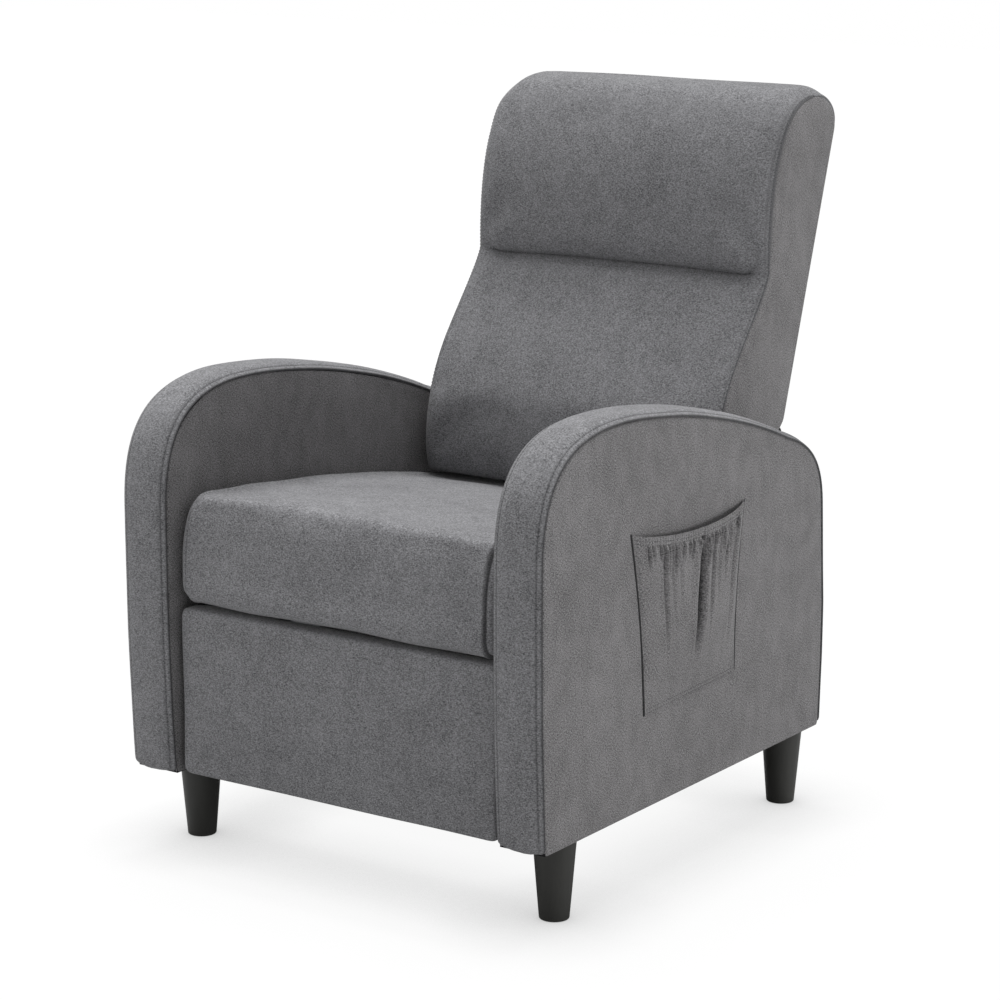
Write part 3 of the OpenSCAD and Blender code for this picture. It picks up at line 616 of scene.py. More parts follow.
def puffPanel(name, loop, centre, face, side, edge, puff, depth, bare=None, pucker=0.0, seed=1, dished=0.0):
    # a padded panel in a [y, z] outline, rolled in at its seams and slightly crowned. face is its outer plane.
    # edge: (inset, depth) pairs from the seam outwards. bare marks points of the loop that have no seam band.
    count = len(loop)
    normals = outward(loop, closed=True, rounds=1)
    bare = np.zeros(count) if bare is None else bare
    spread = 1 - 2 * (loop[:, 0] - loop[:, 0].min()) / np.ptp(loop[:, 0])  # 1 at the front end, -1 at the rear
    roll = puffSettings["footRoll"]
    rings, levels = [], []
    for inset, sink in edge:
        under = roll - math.sqrt(roll ** 2 - max(0.0, roll - sink) ** 2)  # the foot has only a rolled fold
        rings.append(loop + np.stack([
            inset * (bare * spread - (1 - bare) * normals[:, 0]),
            -normals[:, 1] * (inset * (1 - bare) + under * bare)], 1))
        levels.append(np.full(count, -sink - dished))
    seam = rings[-1]
    for shrink in np.concatenate([np.linspace(*span) for span in puffSettings["shrinks"]]):
        ring = centre + (seam - centre) * shrink
        gap = softGap(ring, seam)
        flat = np.column_stack([np.full(count, face), ring])
        level = puff * smooth(gap / puffSettings["crownRun"])
        level -= dished * bell(gap - puffSettings["dishRun"], puffSettings["dishRun"])
        level += puffSettings["waveShare"] * puff * wander(flat, puffSettings["waveSize"], seed)
        nearSeam = np.exp(-gap / puffSettings["puckerRun"])
        level += pucker * nearSeam * wander(flat, puffSettings["puckerSize"], seed + 5)
        rings.append(ring)
        levels.append(level)
    rows = [np.column_stack([side * (face + level), ring]) for ring, level in zip(rings, levels)]
    back = rows[0].copy()
    back[:, 0] = side * (face - depth)
    middle, rear = ([side * (face + rise), *centre] for rise in (puff, -depth))
    points = np.vstack([*rows, middle, back, rear])
    middleAt = len(rows) * count
    backAt, rearAt = middleAt + 1, middleAt + 1 + count
    faces = gridFaces(len(rows), count, closed=True)
    for j in range(count):
        k = (j + 1) % count
        faces.append((middleAt - count + j, middleAt - count + k, middleAt))
        faces.append((k, j, backAt + j, backAt + k))
        faces.append((backAt + k, backAt + j, rearAt))
    if side > 0:
        faces = [f[::-1] for f in faces]
    piece = newPiece(name, points, faces, panelCloth)
    # painted shade on the rows that roll into the seam, none where the loop has no seam band
    dark = armSettings["seamShade"] * (1 - smooth(np.arange(len(rows)) / (len(edge) - 3)))
    shaded(piece, np.concatenate([np.outer(dark, 1 - bare).ravel(), np.zeros(count + 2)]))
    return piece


def footRounded(loop, radius):
    # the front foot corner of an arm's side eased by an arc
    up = np.clip(1 - (loop[:, 1] - loop[:, 1].min()) / radius, 0, 1)
    eased = bandLow.y + armSettings["footStep"] + radius * quarter(up) - (1 - up) * mm
    corner = (up > 0) & (loop[:, 0] < 0)
    rounded = loop.copy()
    rounded[corner, 0] = np.maximum(loop[corner, 0], eased[corner])
    return rounded


def roundedLoop(points, radius, spacing):
    # a closed loop with its sharp corners eased
    loop = evenly(points, spacing / 3, closed=True)
    loop = softened(loop, int(max(2, (radius / (spacing / 3)) ** 2 / 2)), closed=True)
    return evenly(loop, spacing, closed=True)


def makeArmPanels(word, side):
    whole = roundedLoop(armLine(), 5 * mm, 5.5 * mm)
    bare = 1 - smooth((whole[:, 1] - bandLow.z - 2 * mm) / armSettings["bareRise"])
    centre = np.array([-0.080, 0.330])
    edge = [(armSettings["panelStart"] + inset * mm, sink * mm) for inset, sink in armSettings["panelEdge"]]
    innerCorner, outerCorner = armSettings["footCorners"]
    for where, face, way, puff, corner, seed in (
            ("Outer", armOuter, 1, armSettings["panelPuff"], outerCorner, 21),
            ("Inner", armInner, -1, armSettings["innerPuff"], innerCorner, 23)):
        # the inner panel faces the other way, so its plane is mirrored before it is built
        piece = puffPanel(
            f"arm{where}Panel_{word}", footRounded(whole, corner), centre, way * face, way * side, edge, puff,
            armSettings["panelDepth"], bare, armSettings["pucker"], seed if side > 0 else seed + 1,
            armSettings["panelDish"])
        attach(piece, "base")
        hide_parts(f"arm_{where.lower()}_panel_{word}")


for word, side in sides.items():
    makeArmBand(word, side)
    makeArmPanels(word, side)
print("arms made")


backSettings = {
    "spacing": 6.5 * mm, "seamRun": 32 * mm, "stitchIn": 7 * mm, "crownRise": 7 * mm,
    "tuckDepth": 18 * mm, "headOverhang": 7 * mm, "tuckEnd": 19 * mm, "tuckFade": 22 * mm, "tuckShade": 0.6,
    "cornerDrop": 5.5 * mm, "cornerRun": 36 * mm, "cornerHigh": 60 * mm, "cornerDraw": 6 * mm,
    "fine": (0, 1.2, 2.4, 3.8, 5.5, 7.5, 10, 13, 17, 22),  # mm from the tuck, where the cover's rows lie close
    # where the crease runs out: turn, mm long, mm deep
    "puckers": ((0.75, 24, 6.0), (0.1, 16, 3.0), (-0.9, 24, 2.4)),
    "sideEdge": ((4.4, 4.8), (3.2, 4.0), (2.3, 3.2), (1.9, 2.4), (1.8, 1.7), (2.0, 1.1), (2.6, 0.7), (3.6, 0.4),
                 (4.8, 0.2), (6, 0.0)),  # mm in from the seam and down from the face
    "sidePuff": 2.0 * mm, "sideDepth": 6.2 * mm, "sidePucker": 0.6 * mm, "sideDish": 0.4 * mm,
}
lumbarLow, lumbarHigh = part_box("lumbar_cushion")
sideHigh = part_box("back_side_left")[1]
backHalf = sideHigh.x
waistZ, footZ, reachY = lumbarHigh.z, lumbarLow.z, sideHigh.y
topZ = sideHigh.z + backSettings["crownRise"]
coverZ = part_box("back_cover")[0].z
coverFoot = np.array([reachY - (topZ - 0.054 - coverZ) * math.tan(math.radians(17.7)), coverZ])
crown = np.array([reachY - 0.051, topZ])
waist = np.array([0.256, waistZ])
bellyFoot = np.array([0.118, footZ])
belly = bellyFoot + [0, 0.107]
brow = crown - [0.119, 0.069]
seamLow, seamMid = bellyFoot + [0.018, 0], bellyFoot + [0.034, 0.157]
seamWaist, seamBrow, seamTop = waist + [0.008, 0], crown - [0.109, 0.089], crown - [0.006, 0.009]
heel = bellyFoot + [0.097, 0]

lumbarLine = run(
    bellyFoot, bezier(bellyFoot, bellyFoot + [-0.019, 0.015], belly - [0.020, 0.045], belly, 20),
    bezier(belly, belly + [0.022, 0.042], waist - [0.030, 0.047], waist, 30))
headLine = run(
    waist, bezier(waist, waist + [-0.016, 0.050], brow - [0.030, 0.055], brow, 26),
    bezier(brow, brow + [0.025, 0.050], crown - [0.074, 0], crown, 20))
lumbarSeam = run(
    seamLow, bezier(seamLow, seamLow + [-0.010, 0.057], seamMid - [0.018, 0.040], seamMid, 24),
    bezier(seamMid, seamMid + [0.024, 0.055], seamWaist - [0.012, 0.037], seamWaist, 26))
headSeam = run(
    seamWaist, bezier(seamWaist, seamWaist + [0.004, 0.043], seamBrow - [0.022, 0.045], seamBrow, 26),
    bezier(seamBrow, seamBrow + [0.016, 0.047], seamTop - [0.052, 0.002], seamTop, 20))
shoulderLine = bezier(crown, crown + [0.029, 0], [reachY, topZ - 0.018], [reachY, topZ - 0.054], 16)


def cornerDrawn(points):
    # the top of the back drops and draws in towards its two corners
    reach, high = backSettings["cornerRun"], backSettings["cornerHigh"]
    near = smooth((points[..., 2] - (topZ - high)) / high)
    corner = smooth((abs(points[..., 0]) - (backHalf - reach)) / reach) ** 1.3
    drawn = points.copy()
    drawn[..., 2] -= near * corner * backSettings["cornerDrop"]
    drawn[..., 0] -= np.sign(points[..., 0]) * near ** 2 * corner * backSettings["cornerDraw"]
    return drawn


def bothHalves(half, mirror=1):
    # the whole width from the half that starts at the middle
    return np.concatenate([half[:, ::-1] * mirror, half[:, 1:]], 1)


def atShares(line, shares):
    s = lengths(line)
    return np.stack([np.interp(shares * s[-1], s, line[:, k]) for k in range(2)], 1)


def closeRows(line, fromEnd):
    # shares of a line's length: close together beside the tuck and even beyond it
    total = lengths(line)[-1]
    fine = np.array(backSettings["fine"]) * mm
    count = int(round((total - fine[-1]) / backSettings["spacing"]))
    at = np.concatenate([fine, np.linspace(fine[-1], total, count + 1)[1:]]) / total
    return 1 - at[::-1] if fromEnd else at


def gridNormals(grid):
    ahead, aside = np.gradient(grid, axis=0), np.gradient(grid, axis=1)
    normal = np.cross(aside, ahead)
    return normal / (np.linalg.norm(normal, axis=-1, keepdims=True) + 1e-12)


def makeBackFront():
    # one cover from the foot of the lumbar over the tuck to the crown, swelled between its seams
    lowAt, highAt = closeRows(lumbarLine, True), closeRows(headLine, False)
    low, high = atShares(lumbarLine, lowAt), atShares(headLine, highAt)
    under = run((0.205, footZ + 2 * mm), (0.150, footZ - 1 * mm), bellyFoot + [0.006, 0])
    under = evenly(under, 9 * mm)[:-1]
    front = run(under, low, high[1:])
    seam = run(under + [0.004, 0], atShares(lumbarSeam, lowAt), atShares(headSeam, highAt)[1:])
    tuckRow = len(under) + len(low) - 1
    normals = outward(front, rounds=4)
    reach, overhang = backSettings["seamRun"], backSettings["headOverhang"]
    tuckEnd = backHalf - backSettings["tuckEnd"]
    creaseEnd = tuckEnd - 34 * mm
    inner = np.concatenate([np.linspace(0, creaseEnd, 22)[:-1], np.arange(creaseEnd, backHalf - reach, 2.6 * mm)])
    rolled = backHalf - reach * (1 - np.sin(np.linspace(0, math.pi / 2, 13)[1:]))
    across = np.concatenate([inner, rolled[:-1], backHalf - np.array([0.4, 0.5, 2.8]) * mm])
    ease = quarter((across - (backHalf - reach)) / reach)
    ease[-3:] = (0.93, 1.0, 1.0)
    sink = np.zeros(len(across))
    sink[-2:] = (2.2 * mm, 5.0 * mm)
    stitchAt = 0.2 * backSettings["stitchIn"]
    stitchColumn = int(np.argmin(abs(backHalf - across[:-3] - stitchAt)))
    half = np.array([np.column_stack([across, p + (q - p) * ease[:, None] - n * sink[:, None]])
                     for p, q, n in zip(front, seam, normals)])
    # the crease is drawn in, with the head rolling over it, and stops short of the side seams
    fade = 1 - smooth((half[..., 0] - (tuckEnd - backSettings["tuckFade"])) / backSettings["tuckFade"])
    s = lengths(front) - lengths(front)[tuckRow]
    above, below = np.maximum(s, 0), np.maximum(-s, 0)
    dip = backSettings["tuckDepth"] * np.where(s >= 0, bell(above, 7.5 * mm, 1.3), bell(below, 3.6 * mm, 1.1))
    dip -= overhang * (s > 0) * bell(above - 24 * mm, 20 * mm)
    hang = overhang * (s > 0) * bell(above - 5 * mm, 6 * mm)
    half[..., 1] += dip[:, None] * fade
    half[..., 2] -= hang[:, None] * fade
    creasing = bell(s, 26 * mm)[:, None] * fade
    half[..., 2] += 1.6 * mm * np.sin(half[..., 0] / (61 * mm) + 0.7) * creasing  # the crease isn't quite straight
    for turn, long, deep in backSettings["puckers"]:
        away = half[..., [0, 2]] - [tuckEnd - 10 * mm, waistZ]
        ahead = away @ np.array([math.cos(turn), math.sin(turn)])
        aside = away @ np.array([-math.sin(turn), math.cos(turn)])
        middle = long * mm / 2
        half[..., 1] += deep * mm * bell(aside, 2.6 * mm) * np.clip(1 - abs(ahead - middle) / middle, 0, 1) ** 0.7
    grid = cornerDrawn(bothHalves(half, np.array([-1, 1, 1])))
    grid[..., 1] += wander(grid, 0.21, 31) * 1.0 * mm
    # close it behind, where it lies on the straps
    chord = np.linspace(0, 1, 10)[1:-1][None, :, None]
    behind = grid[:, -1:] + (grid[:, :1] - grid[:, -1:]) * chord
    behind[..., 1] += 20 * mm * np.sin(math.pi * chord[..., 0])
    rings = np.concatenate([grid, behind], 1)
    piece = tube("backFrontCover", rings, greyCloth)
    cols = grid.shape[1]
    fadeAll = bothHalves(fade)
    # painted shade in the tuck's crease and at the side seams, and a dark line along the topstitch, partly the
    # thread's own colour and partly the shade of its groove
    creaseShade = backSettings["tuckShade"] * np.where(s >= 0, bell(above, 5 * mm, 1.4), bell(below, 3 * mm, 1.4))
    seamIn = backHalf - bothHalves(across[None])
    seamShade = 0.45 * (1 - smooth(seamIn / (2.5 * mm))) + 0.3 * bell(seamIn - stitchAt - 2.4 * mm, 0.9 * mm)
    dark = np.zeros(rings.shape[:2])
    dark[:, :cols] = np.maximum(creaseShade[:, None] * fadeAll, seamShade)
    shaded(piece, dark)
    # held along the side seams, behind, at the foot and crown, and along the crease
    held = np.zeros(rings.shape[:2])
    held[:, :4] = held[:, cols - 4:] = 1
    held[:len(under) - 1] = held[-2:] = 1
    held[tuckRow - 1:tuckRow + 2, :cols] = fadeAll[tuckRow] > 0.5
    inflate(piece, held.ravel(), pressure=1.5, cap=5 * mm, frames=20)
    swelled = meshPoints(piece.data).reshape(rings.shape)[:, :cols]
    subdivided(piece)
    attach(piece, "back")
    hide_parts("lumbar_cushion", "head_cushion")
    facing = gridNormals(swelled)
    rows = slice(len(under) + 2, -2)
    for word, side in sides.items():
        column = len(across) - 1 + side * stitchColumn
        stitchRow(f"backStitch_{word}", swelled[rows, column], facing[rows, column], "back")


def makeBackSides():
    top, drop = np.array([reachY - 2 * mm, topZ - 0.062]), [0, 0.040]
    shoulder = bezier(seamTop, seamTop + [0.028, 0.002], top + drop, top, 16)
    loop = roundedLoop(run(lumbarSeam, headSeam[1:], shoulder, coverFoot, heel), 7 * mm, 5.0 * mm)
    centre = np.array([0.302, 0.700])
    edge = [(inset * mm, sink * mm) for inset, sink in backSettings["sideEdge"]]
    for word, side in sides.items():
        piece = puffPanel(
            f"backSide_{word}", loop, centre, backHalf, side, edge, backSettings["sidePuff"],
            backSettings["sideDepth"], pucker=backSettings["sidePucker"], seed=41 if side > 0 else 42,
            dished=backSettings["sideDish"])
        piece.data.vertices.foreach_set("co", cornerDrawn(meshPoints(piece.data)).ravel())
        piece.data.update()
        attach(piece, "back")
        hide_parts(f"back_side_{word}")


def makeOutsideBack():
    line = evenly(run(crown - [0.006, 0.0], crown, shoulderLine, coverFoot), backSettings["spacing"])
    normals = outward(line, rounds=4)
    half = backHalf - 0.8 * mm
    across = np.concatenate([
        np.linspace(0, half - 14 * mm, 20), half - np.array([10, 7, 5, 3.4, 2.0, 0.9, 0.2, 0.6, 2.6]) * mm])
    level = -3.0 * mm * smooth((across - (half - 40 * mm)) / (40 * mm)) ** 2
    edge = -0.6 * mm * bell(half - across - backSettings["stitchIn"], 1.5 * mm)
    edge[-3:] -= np.array([0.8, 2.2, 4.8]) * mm
    # at the crown it drops to the side seams just as the front cover does
    reach = backSettings["seamRun"]
    crownLevel = -(crown[1] - seamTop[1]) * quarter((across - (half - reach)) / reach)
    rows = []
    for p, n, s in zip(line, normals, lengths(line)):
        nearCrown = bell(s, 40 * mm)
        rise = level * (1 - nearCrown) + crownLevel * nearCrown + edge
        rows.append(np.column_stack([across, p + n * rise[:, None]]))
    grid = cornerDrawn(bothHalves(np.array(rows), np.array([-1, 1, 1])))
    grid[..., 1:] += wander(grid, 0.24, 51)[..., None] * 1.1 * mm * normals[:, None]
    inward = grid.copy()
    inward[..., 1:] -= normals[:, None] * 5 * mm
    rings = np.concatenate([grid, inward[:, 2:-2][:, ::-1]], 1)
    piece = tube("outsideBack", rings, greyCloth, flip=True)
    subdivided(piece)
    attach(piece, "back")
    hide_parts("back_cover")
    facing = -gridNormals(grid)
    stitchColumn = int(np.argmin(abs(half - across - backSettings["stitchIn"])))
    for word, side in sides.items():
        column = len(across) - 1 + side * stitchColumn
        stitchRow(f"outsideStitch_{word}", grid[2:-2, column], facing[2:-2, column], "back")


makeBackFront()
makeBackSides()
makeOutsideBack()
print("back made")


seatSettings = {
    "spacing": 7 * mm, "cornerTop": 24 * mm, "cornerLow": 17 * mm, "start": 8 * mm, "lipLower": 5.5 * mm,
    "widen": 3 * mm, "crownUp": 5 * mm, "seamIn": 15 * mm, "seamDeep": 4.2 * mm, "endSet": 3.2 * mm,
    "seamRows": (-5, -3, -1.8, -0.9, 0, 0.9, 1.8, 3, 5),  # mm from the seam
    "seamShade": 0.65, "waveSize": 0.17, "waveHigh": 1.5 * mm,
}
seatLow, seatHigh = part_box("seat_cushion")


def makeSeat():
    f, top, lip, rear = seatLow.y, seatHigh.z, seatLow.z - seatSettings["lipLower"], seatHigh.y
    floor = seatLow.z + 18.6 * mm
    dip = lumbarLow.z - 9 * mm
    start = seatSettings["start"]
    crest = top - start
    line = run(
        (rear, floor), (0.0, floor), (f + 0.066, floor), (f + 0.052, lip + 1 * mm),
        bezier((f + 0.046, lip), (f + 0.018, lip), (f + start * 0.7, lip + 0.010), (f + start, lip + 0.036), 14),
        bezier((f + start, lip + 0.036), (f + start, top - 0.034), (f + 0.020, crest), (f + 0.060, crest), 24),
        bezier((f + 0.060, crest), (-0.200, crest - 0.014), (-0.020, dip + 0.040), (0.123, dip + 2 * mm), 40),
        (rear, dip - 6 * mm))
    loop = roundedLoop(line, 6 * mm, seatSettings["spacing"])
    # the loop runs clockwise seen from +X, so its left side is outward
    normals = outward(loop, closed=True, rounds=3)
    half = seatHigh.x + seatSettings["widen"]
    topness = smooth((loop[:, 1] - (lip + 0.07)) / 0.07)
    frontness = smooth((-loop[:, 0] - 0.30) / 0.10)
    radius = seatSettings["cornerLow"] * (1 - topness) + seatSettings["cornerTop"] * topness
    radius *= 0.55 + 0.45 * frontness
    straight = half - float(radius.max())
    ends = straight + (half - straight) * np.sin(np.linspace(0, math.pi / 2, 10)[1:])
    seam = half - seatSettings["seamIn"]
    seamRows = seam + np.array(seatSettings["seamRows"]) * mm
    ends = np.sort(np.concatenate([ends[abs(ends - seam) > 6 * mm], seamRows]))
    stations = np.concatenate([-ends[::-1], np.linspace(-1, 1, 61) * straight, ends])
    rings = []
    for x in stations:
        past = abs(x) - seam
        inset = radius * quarter((abs(x) - (half - radius)) / radius) * 0.92
        inset += seatSettings["seamDeep"] * bell(past, 1.5 * mm) - 1.4 * mm * bell(past + 4 * mm, 2.6 * mm)
        inset += seatSettings["endSet"] * smooth(past / (2 * mm))
        ring = loop - normals * inset[:, None]
        ring[:, 1] += seatSettings["crownUp"] * (1 - (x / half) ** 2) * topness  # the cushion crowns across
        rings.append(np.column_stack([np.full(len(ring), x), ring]))
    rings = np.array(rings)
    rings[..., 2] += wander(rings, seatSettings["waveSize"], 61) * seatSettings["waveHigh"]
    piece = tube("seatCushion", rings, greyCloth)
    # painted shade along the two boxing seams
    dark = seatSettings["seamShade"] * bell(abs(stations) - seam, 1.6 * mm)
    shaded(piece, np.repeat(dark, len(loop)))
    # held where it lies on the springs, against the back and along its boxing seams
    held = np.zeros(rings.shape[:2])
    held[:, (loop[:, 1] < floor + 4 * mm) | (loop[:, 0] > 0.13)] = 1
    held[abs(abs(stations) - seam) < 1 * mm] = 1
    held[:2] = held[-2:] = 1
    inflate(piece, held.ravel(), pressure=1.2, cap=5 * mm, frames=20)
    subdivided(piece)
    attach(piece, "seat")
    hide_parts("seat_cushion")


makeSeat()
print("seat made")


padSettings = {
    "widen": 2 * mm, "roll": 6.5 * mm, "corner": 8 * mm, "puff": 4 * mm, "spacing": 7.5 * mm, "faceIn": 3.5 * mm,
    "insets": (9.5, 14, 20, 28, 38, 50, 64, 80, 97),  # mm in from the edge, over the face
    "waveSize": 0.15, "waveHigh": 0.9 * mm,
}
padLow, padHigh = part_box("footrest_pad")


def roundedBox(w, h, c):
    # a box of half sizes w and h with its corners eased by c
    def corner(x, y, upFirst):
        side, end = (x, y - math.copysign(c, y)), (x - math.copysign(c, x), y)
        sideEase, endEase = (x, y - math.copysign(0.45 * c, y)), (x - math.copysign(0.45 * c, x), y)
        return bezier(side, sideEase, endEase, end, 6) if upFirst else bezier(end, endEase, sideEase, side, 6)

    across, up = np.linspace(-w + c, w - c, 8), np.linspace(-h + c, h - c, 5)
    return run(
        np.stack([across, np.full(8, -h)], 1), corner(w, -h, False),
        np.stack([np.full(5, w), up], 1)[1:], corner(w, h, True),
        np.stack([across[::-1], np.full(8, h)], 1)[1:], corner(-w, h, False),
        np.stack([np.full(5, -w), up[::-1]], 1)[1:], corner(-w, -h, True)[:-1])


def makeFootrest():
    # a panel wrapped in cloth: rolled edges, a soft face and cloth turned over the back
    w, h = padHigh.x + padSettings["widen"], (padHigh.z - padLow.z) / 2
    middleZ = (padHigh.z + padLow.z) / 2
    depth = padHigh.y - padLow.y
    roll = padSettings["roll"]
    # from the back of the panel round the edge and over the face: inset from the edge and distance behind the face
    steps = [(22 * mm, depth), (6 * mm, depth - 0.5 * mm), (1.5 * mm, depth - 3 * mm), (0, depth - 8 * mm),
             (0, depth * 0.55), (0, roll)]
    for a in np.arange(1, 7) / 6 * math.pi / 2:
        steps.append((roll * (1 - math.cos(a)), roll * (1 - math.sin(a))))
    steps += [(inset * mm, 0.0) for inset in padSettings["insets"]]
    count = 2 * (int(2 * w / padSettings["spacing"]) + int(2 * h / padSettings["spacing"]))
    rings = []
    for inset, behind in steps:
        loop = roundedBox(w - inset, h - inset, max(padSettings["corner"] - inset * 0.3, 1 * mm))
        # the same number of points round every ring
        closed = np.vstack([loop, loop[:1]])
        s = lengths(closed)
        at = np.linspace(0, s[-1], count + 1)[:-1]
        x, z = (np.interp(at, s, closed[:, k]) for k in range(2))
        y = padLow.y + padSettings["faceIn"] + behind - padSettings["puff"] * smooth((inset - roll) / (80 * mm))
        rings.append(np.stack([x, np.full(count, y), middleZ + z], 1))
    rings = np.array(rings)
    rings[..., 1] += wander(rings, padSettings["waveSize"], 71) * padSettings["waveHigh"]
    piece = tube("footrestPanel", rings, greyCloth)
    held = np.zeros(rings.shape[:2])
    held[:5] = 1
    held[9] = 0.7
    inflate(piece, held.ravel(), pressure=1.6, cap=6 * mm, frames=14)
    subdivided(piece)
    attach(piece, "footrest")
    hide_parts("footrest_pad")


makeFootrest()
print("footrest made")


pocketSettings = {
    "hem": 13 * mm, "sag": 15 * mm, "sideBow": 6 * mm, "raised": 3.4 * mm, "thick": 2.6 * mm, "bulge": 12 * mm,
    "wide": 230, "tall": 96, "hemRows": 15, "stitchDeep": 0.5 * mm, "stitchRows": 0.022,
    # place across (0 front, 1 rear), half width mm, depth mm, reach down (share), lean mm
    "pleat": (0.545, 6.8, 9.5, 0.76, -6),
    "folds": ((0.205, 3.2, 3.0, 0.72, 3), (0.27, 3.0, 1.6, 0.55, 5), (0.345, 3.2, 1.8, 0.40, 2),
              (0.655, 3.0, 2.8, 0.68, -3), (0.725, 2.8, 1.8, 0.46, -2), (0.805, 3.2, 2.6, 0.34, -4),
              (0.905, 5.0, 2.6, 0.84, -8)),
    "foldGain": 1.7, "gathers": 21, "gatherStart": 0.085, "gatherStep": 0.0415, "shade": 0.95,
    # painted shade, dark lines along the pocket's edges: column, radius, set out from the cloth's edge
    "shadowLines": {"front": (0, 1.5 * mm, -0.9 * mm), "rear": (-1, 1.25 * mm, 3.45 * mm)}, "shadowLineOut": 1.7 * mm,
}
pocketLow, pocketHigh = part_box("side_pocket")


def makePocket():
    wide, tall, hemRows = pocketSettings["wide"], pocketSettings["tall"], pocketSettings["hemRows"]
    topFront, topRear = np.array([pocketLow.y, pocketHigh.z]), np.array([pocketHigh.y, pocketHigh.z - 6 * mm])
    lowFront = np.array([pocketLow.y + 37 * mm, pocketLow.z])
    lowRear = np.array([pocketHigh.y - 19 * mm, pocketLow.z + 7 * mm])
    # u runs from front to rear, v from the foot up to the hem
    u = np.linspace(0, 1, wide)
    v = np.concatenate([np.linspace(0, 0.90, tall - hemRows + 1)[:-1], np.linspace(0.90, 1.0, hemRows)])
    uu, vv = np.meshgrid(u, v)
    middling = np.clip(4 * uu * (1 - uu), 0, 1)  # 0 at the sides, 1 in the middle
    low = lowFront * (1 - uu[..., None]) + lowRear * uu[..., None]
    high = topFront * (1 - uu[..., None]) + topRear * uu[..., None]
    high[..., 1] -= pocketSettings["sag"] * middling ** 0.8
    place = low + (high - low) * vv[..., None]
    place[..., 0] += pocketSettings["sideBow"] * np.sin(math.pi * vv) * (1 - 2 * uu) ** 3
    width = topRear[0] - topFront[0]
    hemAt = 1 - pocketSettings["hem"] / (topFront[1] - lowFront[1])
    out = pocketSettings["bulge"] * middling ** 0.55 * smooth(vv / 0.5) ** 0.8
    out += 2.2 * mm * smooth((vv - 0.55) / 0.45) * middling ** 0.4
    gathers = [(pocketSettings["gatherStart"] + pocketSettings["gatherStep"] * (k + 0.16 * math.sin(4.1 * k)),
                1.9 + 0.4 * math.sin(2.1 * k), 3.4 + 1.0 * math.sin(3.7 * k),
                0.165 + 0.065 * math.sin(5.3 * k), 2 * math.cos(0.3 * k)) for k in range(pocketSettings["gathers"])]
    dent = np.zeros_like(uu)
    for fold in (pocketSettings["pleat"], *pocketSettings["folds"], *gathers):
        where, half, deep, reach, lean = fold
        fall = (hemAt - vv) / reach  # 0 at the hem, 1 where the fold ends
        inside = np.clip(fall, 0, 1)
        strength = deep * pocketSettings["foldGain"] * mm * np.where(fall < 0, np.exp(fall * 9), 1 - inside ** 1.6)
        broad = half * mm * (0.75 + 0.5 * np.sin(math.pi * inside) ** 0.7)
        away = (uu * width - where * width - lean * mm * inside * 1.2) / broad
        dent += strength * bell(np.abs(away), 1, 4 if fold == pocketSettings["pleat"] else 2.4)
        dent -= 0.33 * strength * (bell(away - 1.9, 0.8) + bell(away + 1.9, 0.8))
    inHem = smooth((vv - hemAt + 0.012) / 0.014)
    ruffle = 0.5 * mm * np.sin(uu * width / (5.6 * mm) * 2 * math.pi + 1.4 * np.sin(uu * 19)) * inHem
    # rows of stitching hold the hem and the foot
    foot = smooth(vv / 0.03)
    out = (out - dent * (1 - 0.88 * inHem) + ruffle) * foot
    for at in (hemAt, hemAt + pocketSettings["stitchRows"]):
        out -= pocketSettings["stitchDeep"] * bell(vv - at, 0.004)
    out *= 0.15 + 0.85 * np.minimum(smooth(uu / 0.02), smooth((1 - uu) / 0.02))
    x = armOuter + pocketSettings["raised"] + np.maximum(out, -1.0 * mm)
    grid = np.concatenate([x[..., None], place], -1)
    back = grid.copy()
    back[..., 0] = np.maximum(grid[..., 0] - pocketSettings["thick"], armOuter + 0.3 * mm)
    rows, cols = grid.shape[:2]
    n = rows * cols
    index = np.arange(n).reshape(rows, cols)
    edge = [*index[:, 0], *index[-1, 1:], *index[-2::-1, -1], *index[0, -2:0:-1]]
    edge = [int(k) for k in edge]
    faces = gridFaces(rows, cols) + [f[::-1] for f in gridFaces(rows, cols, first=n)]
    faces += [(a + n, b + n, b, a) for a, b in zip(edge, edge[1:] + edge[:1])]
    piece = newPiece("sidePocket", np.vstack([grid.reshape(-1, 3), back.reshape(-1, 3)]), faces, panelCloth)
    # painted shade deep in the folds and gathers, growing with their depth, none in the hem
    dark = pocketSettings["shade"] * (1 - bell(np.maximum(dent, 0) * (1 - inHem), 5.6 * mm, 2.2)) * foot
    shaded(piece, np.concatenate([dark.ravel(), np.zeros(n)]))
    subdivided(piece)
    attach(piece, "base")
    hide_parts("side_pocket")
    angles = np.arange(8) * math.pi / 4
    # painted shade: dark tubes along the front and rear edges, where the pocket stands off the panel
    for name, (column, radius, setOut) in pocketSettings["shadowLines"].items():
        line = grid[1 if name == "rear" else 0:, column].copy()
        line[:, 0] = armOuter + pocketSettings["shadowLineOut"]
        line[:, 1] += setOut
        rings = line[:, None] + radius * np.stack([0.9 * np.cos(angles), np.sin(angles), 0 * angles], 1)
        shadowLine = tube(f"pocketShadowLine_{name}", rings, shadeCloth)
        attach(shadowLine, "base")
    for name, at in (("hemLow", hemAt), ("hemHigh", hemAt + pocketSettings["stitchRows"]),
                     ("footLow", 0.010), ("footHigh", 0.034)):
        line = grid[int(np.argmin(abs(v - at))), 3:-3]
        stitchRow(f"pocketStitch_{name}", line, np.tile([1.0, 0, 0], (len(line), 1)), "base")


makePocket()
print("pocket made")


legSettings = {"edge": 2.2 * mm, "taper": 9 * mm, "turns": 48}


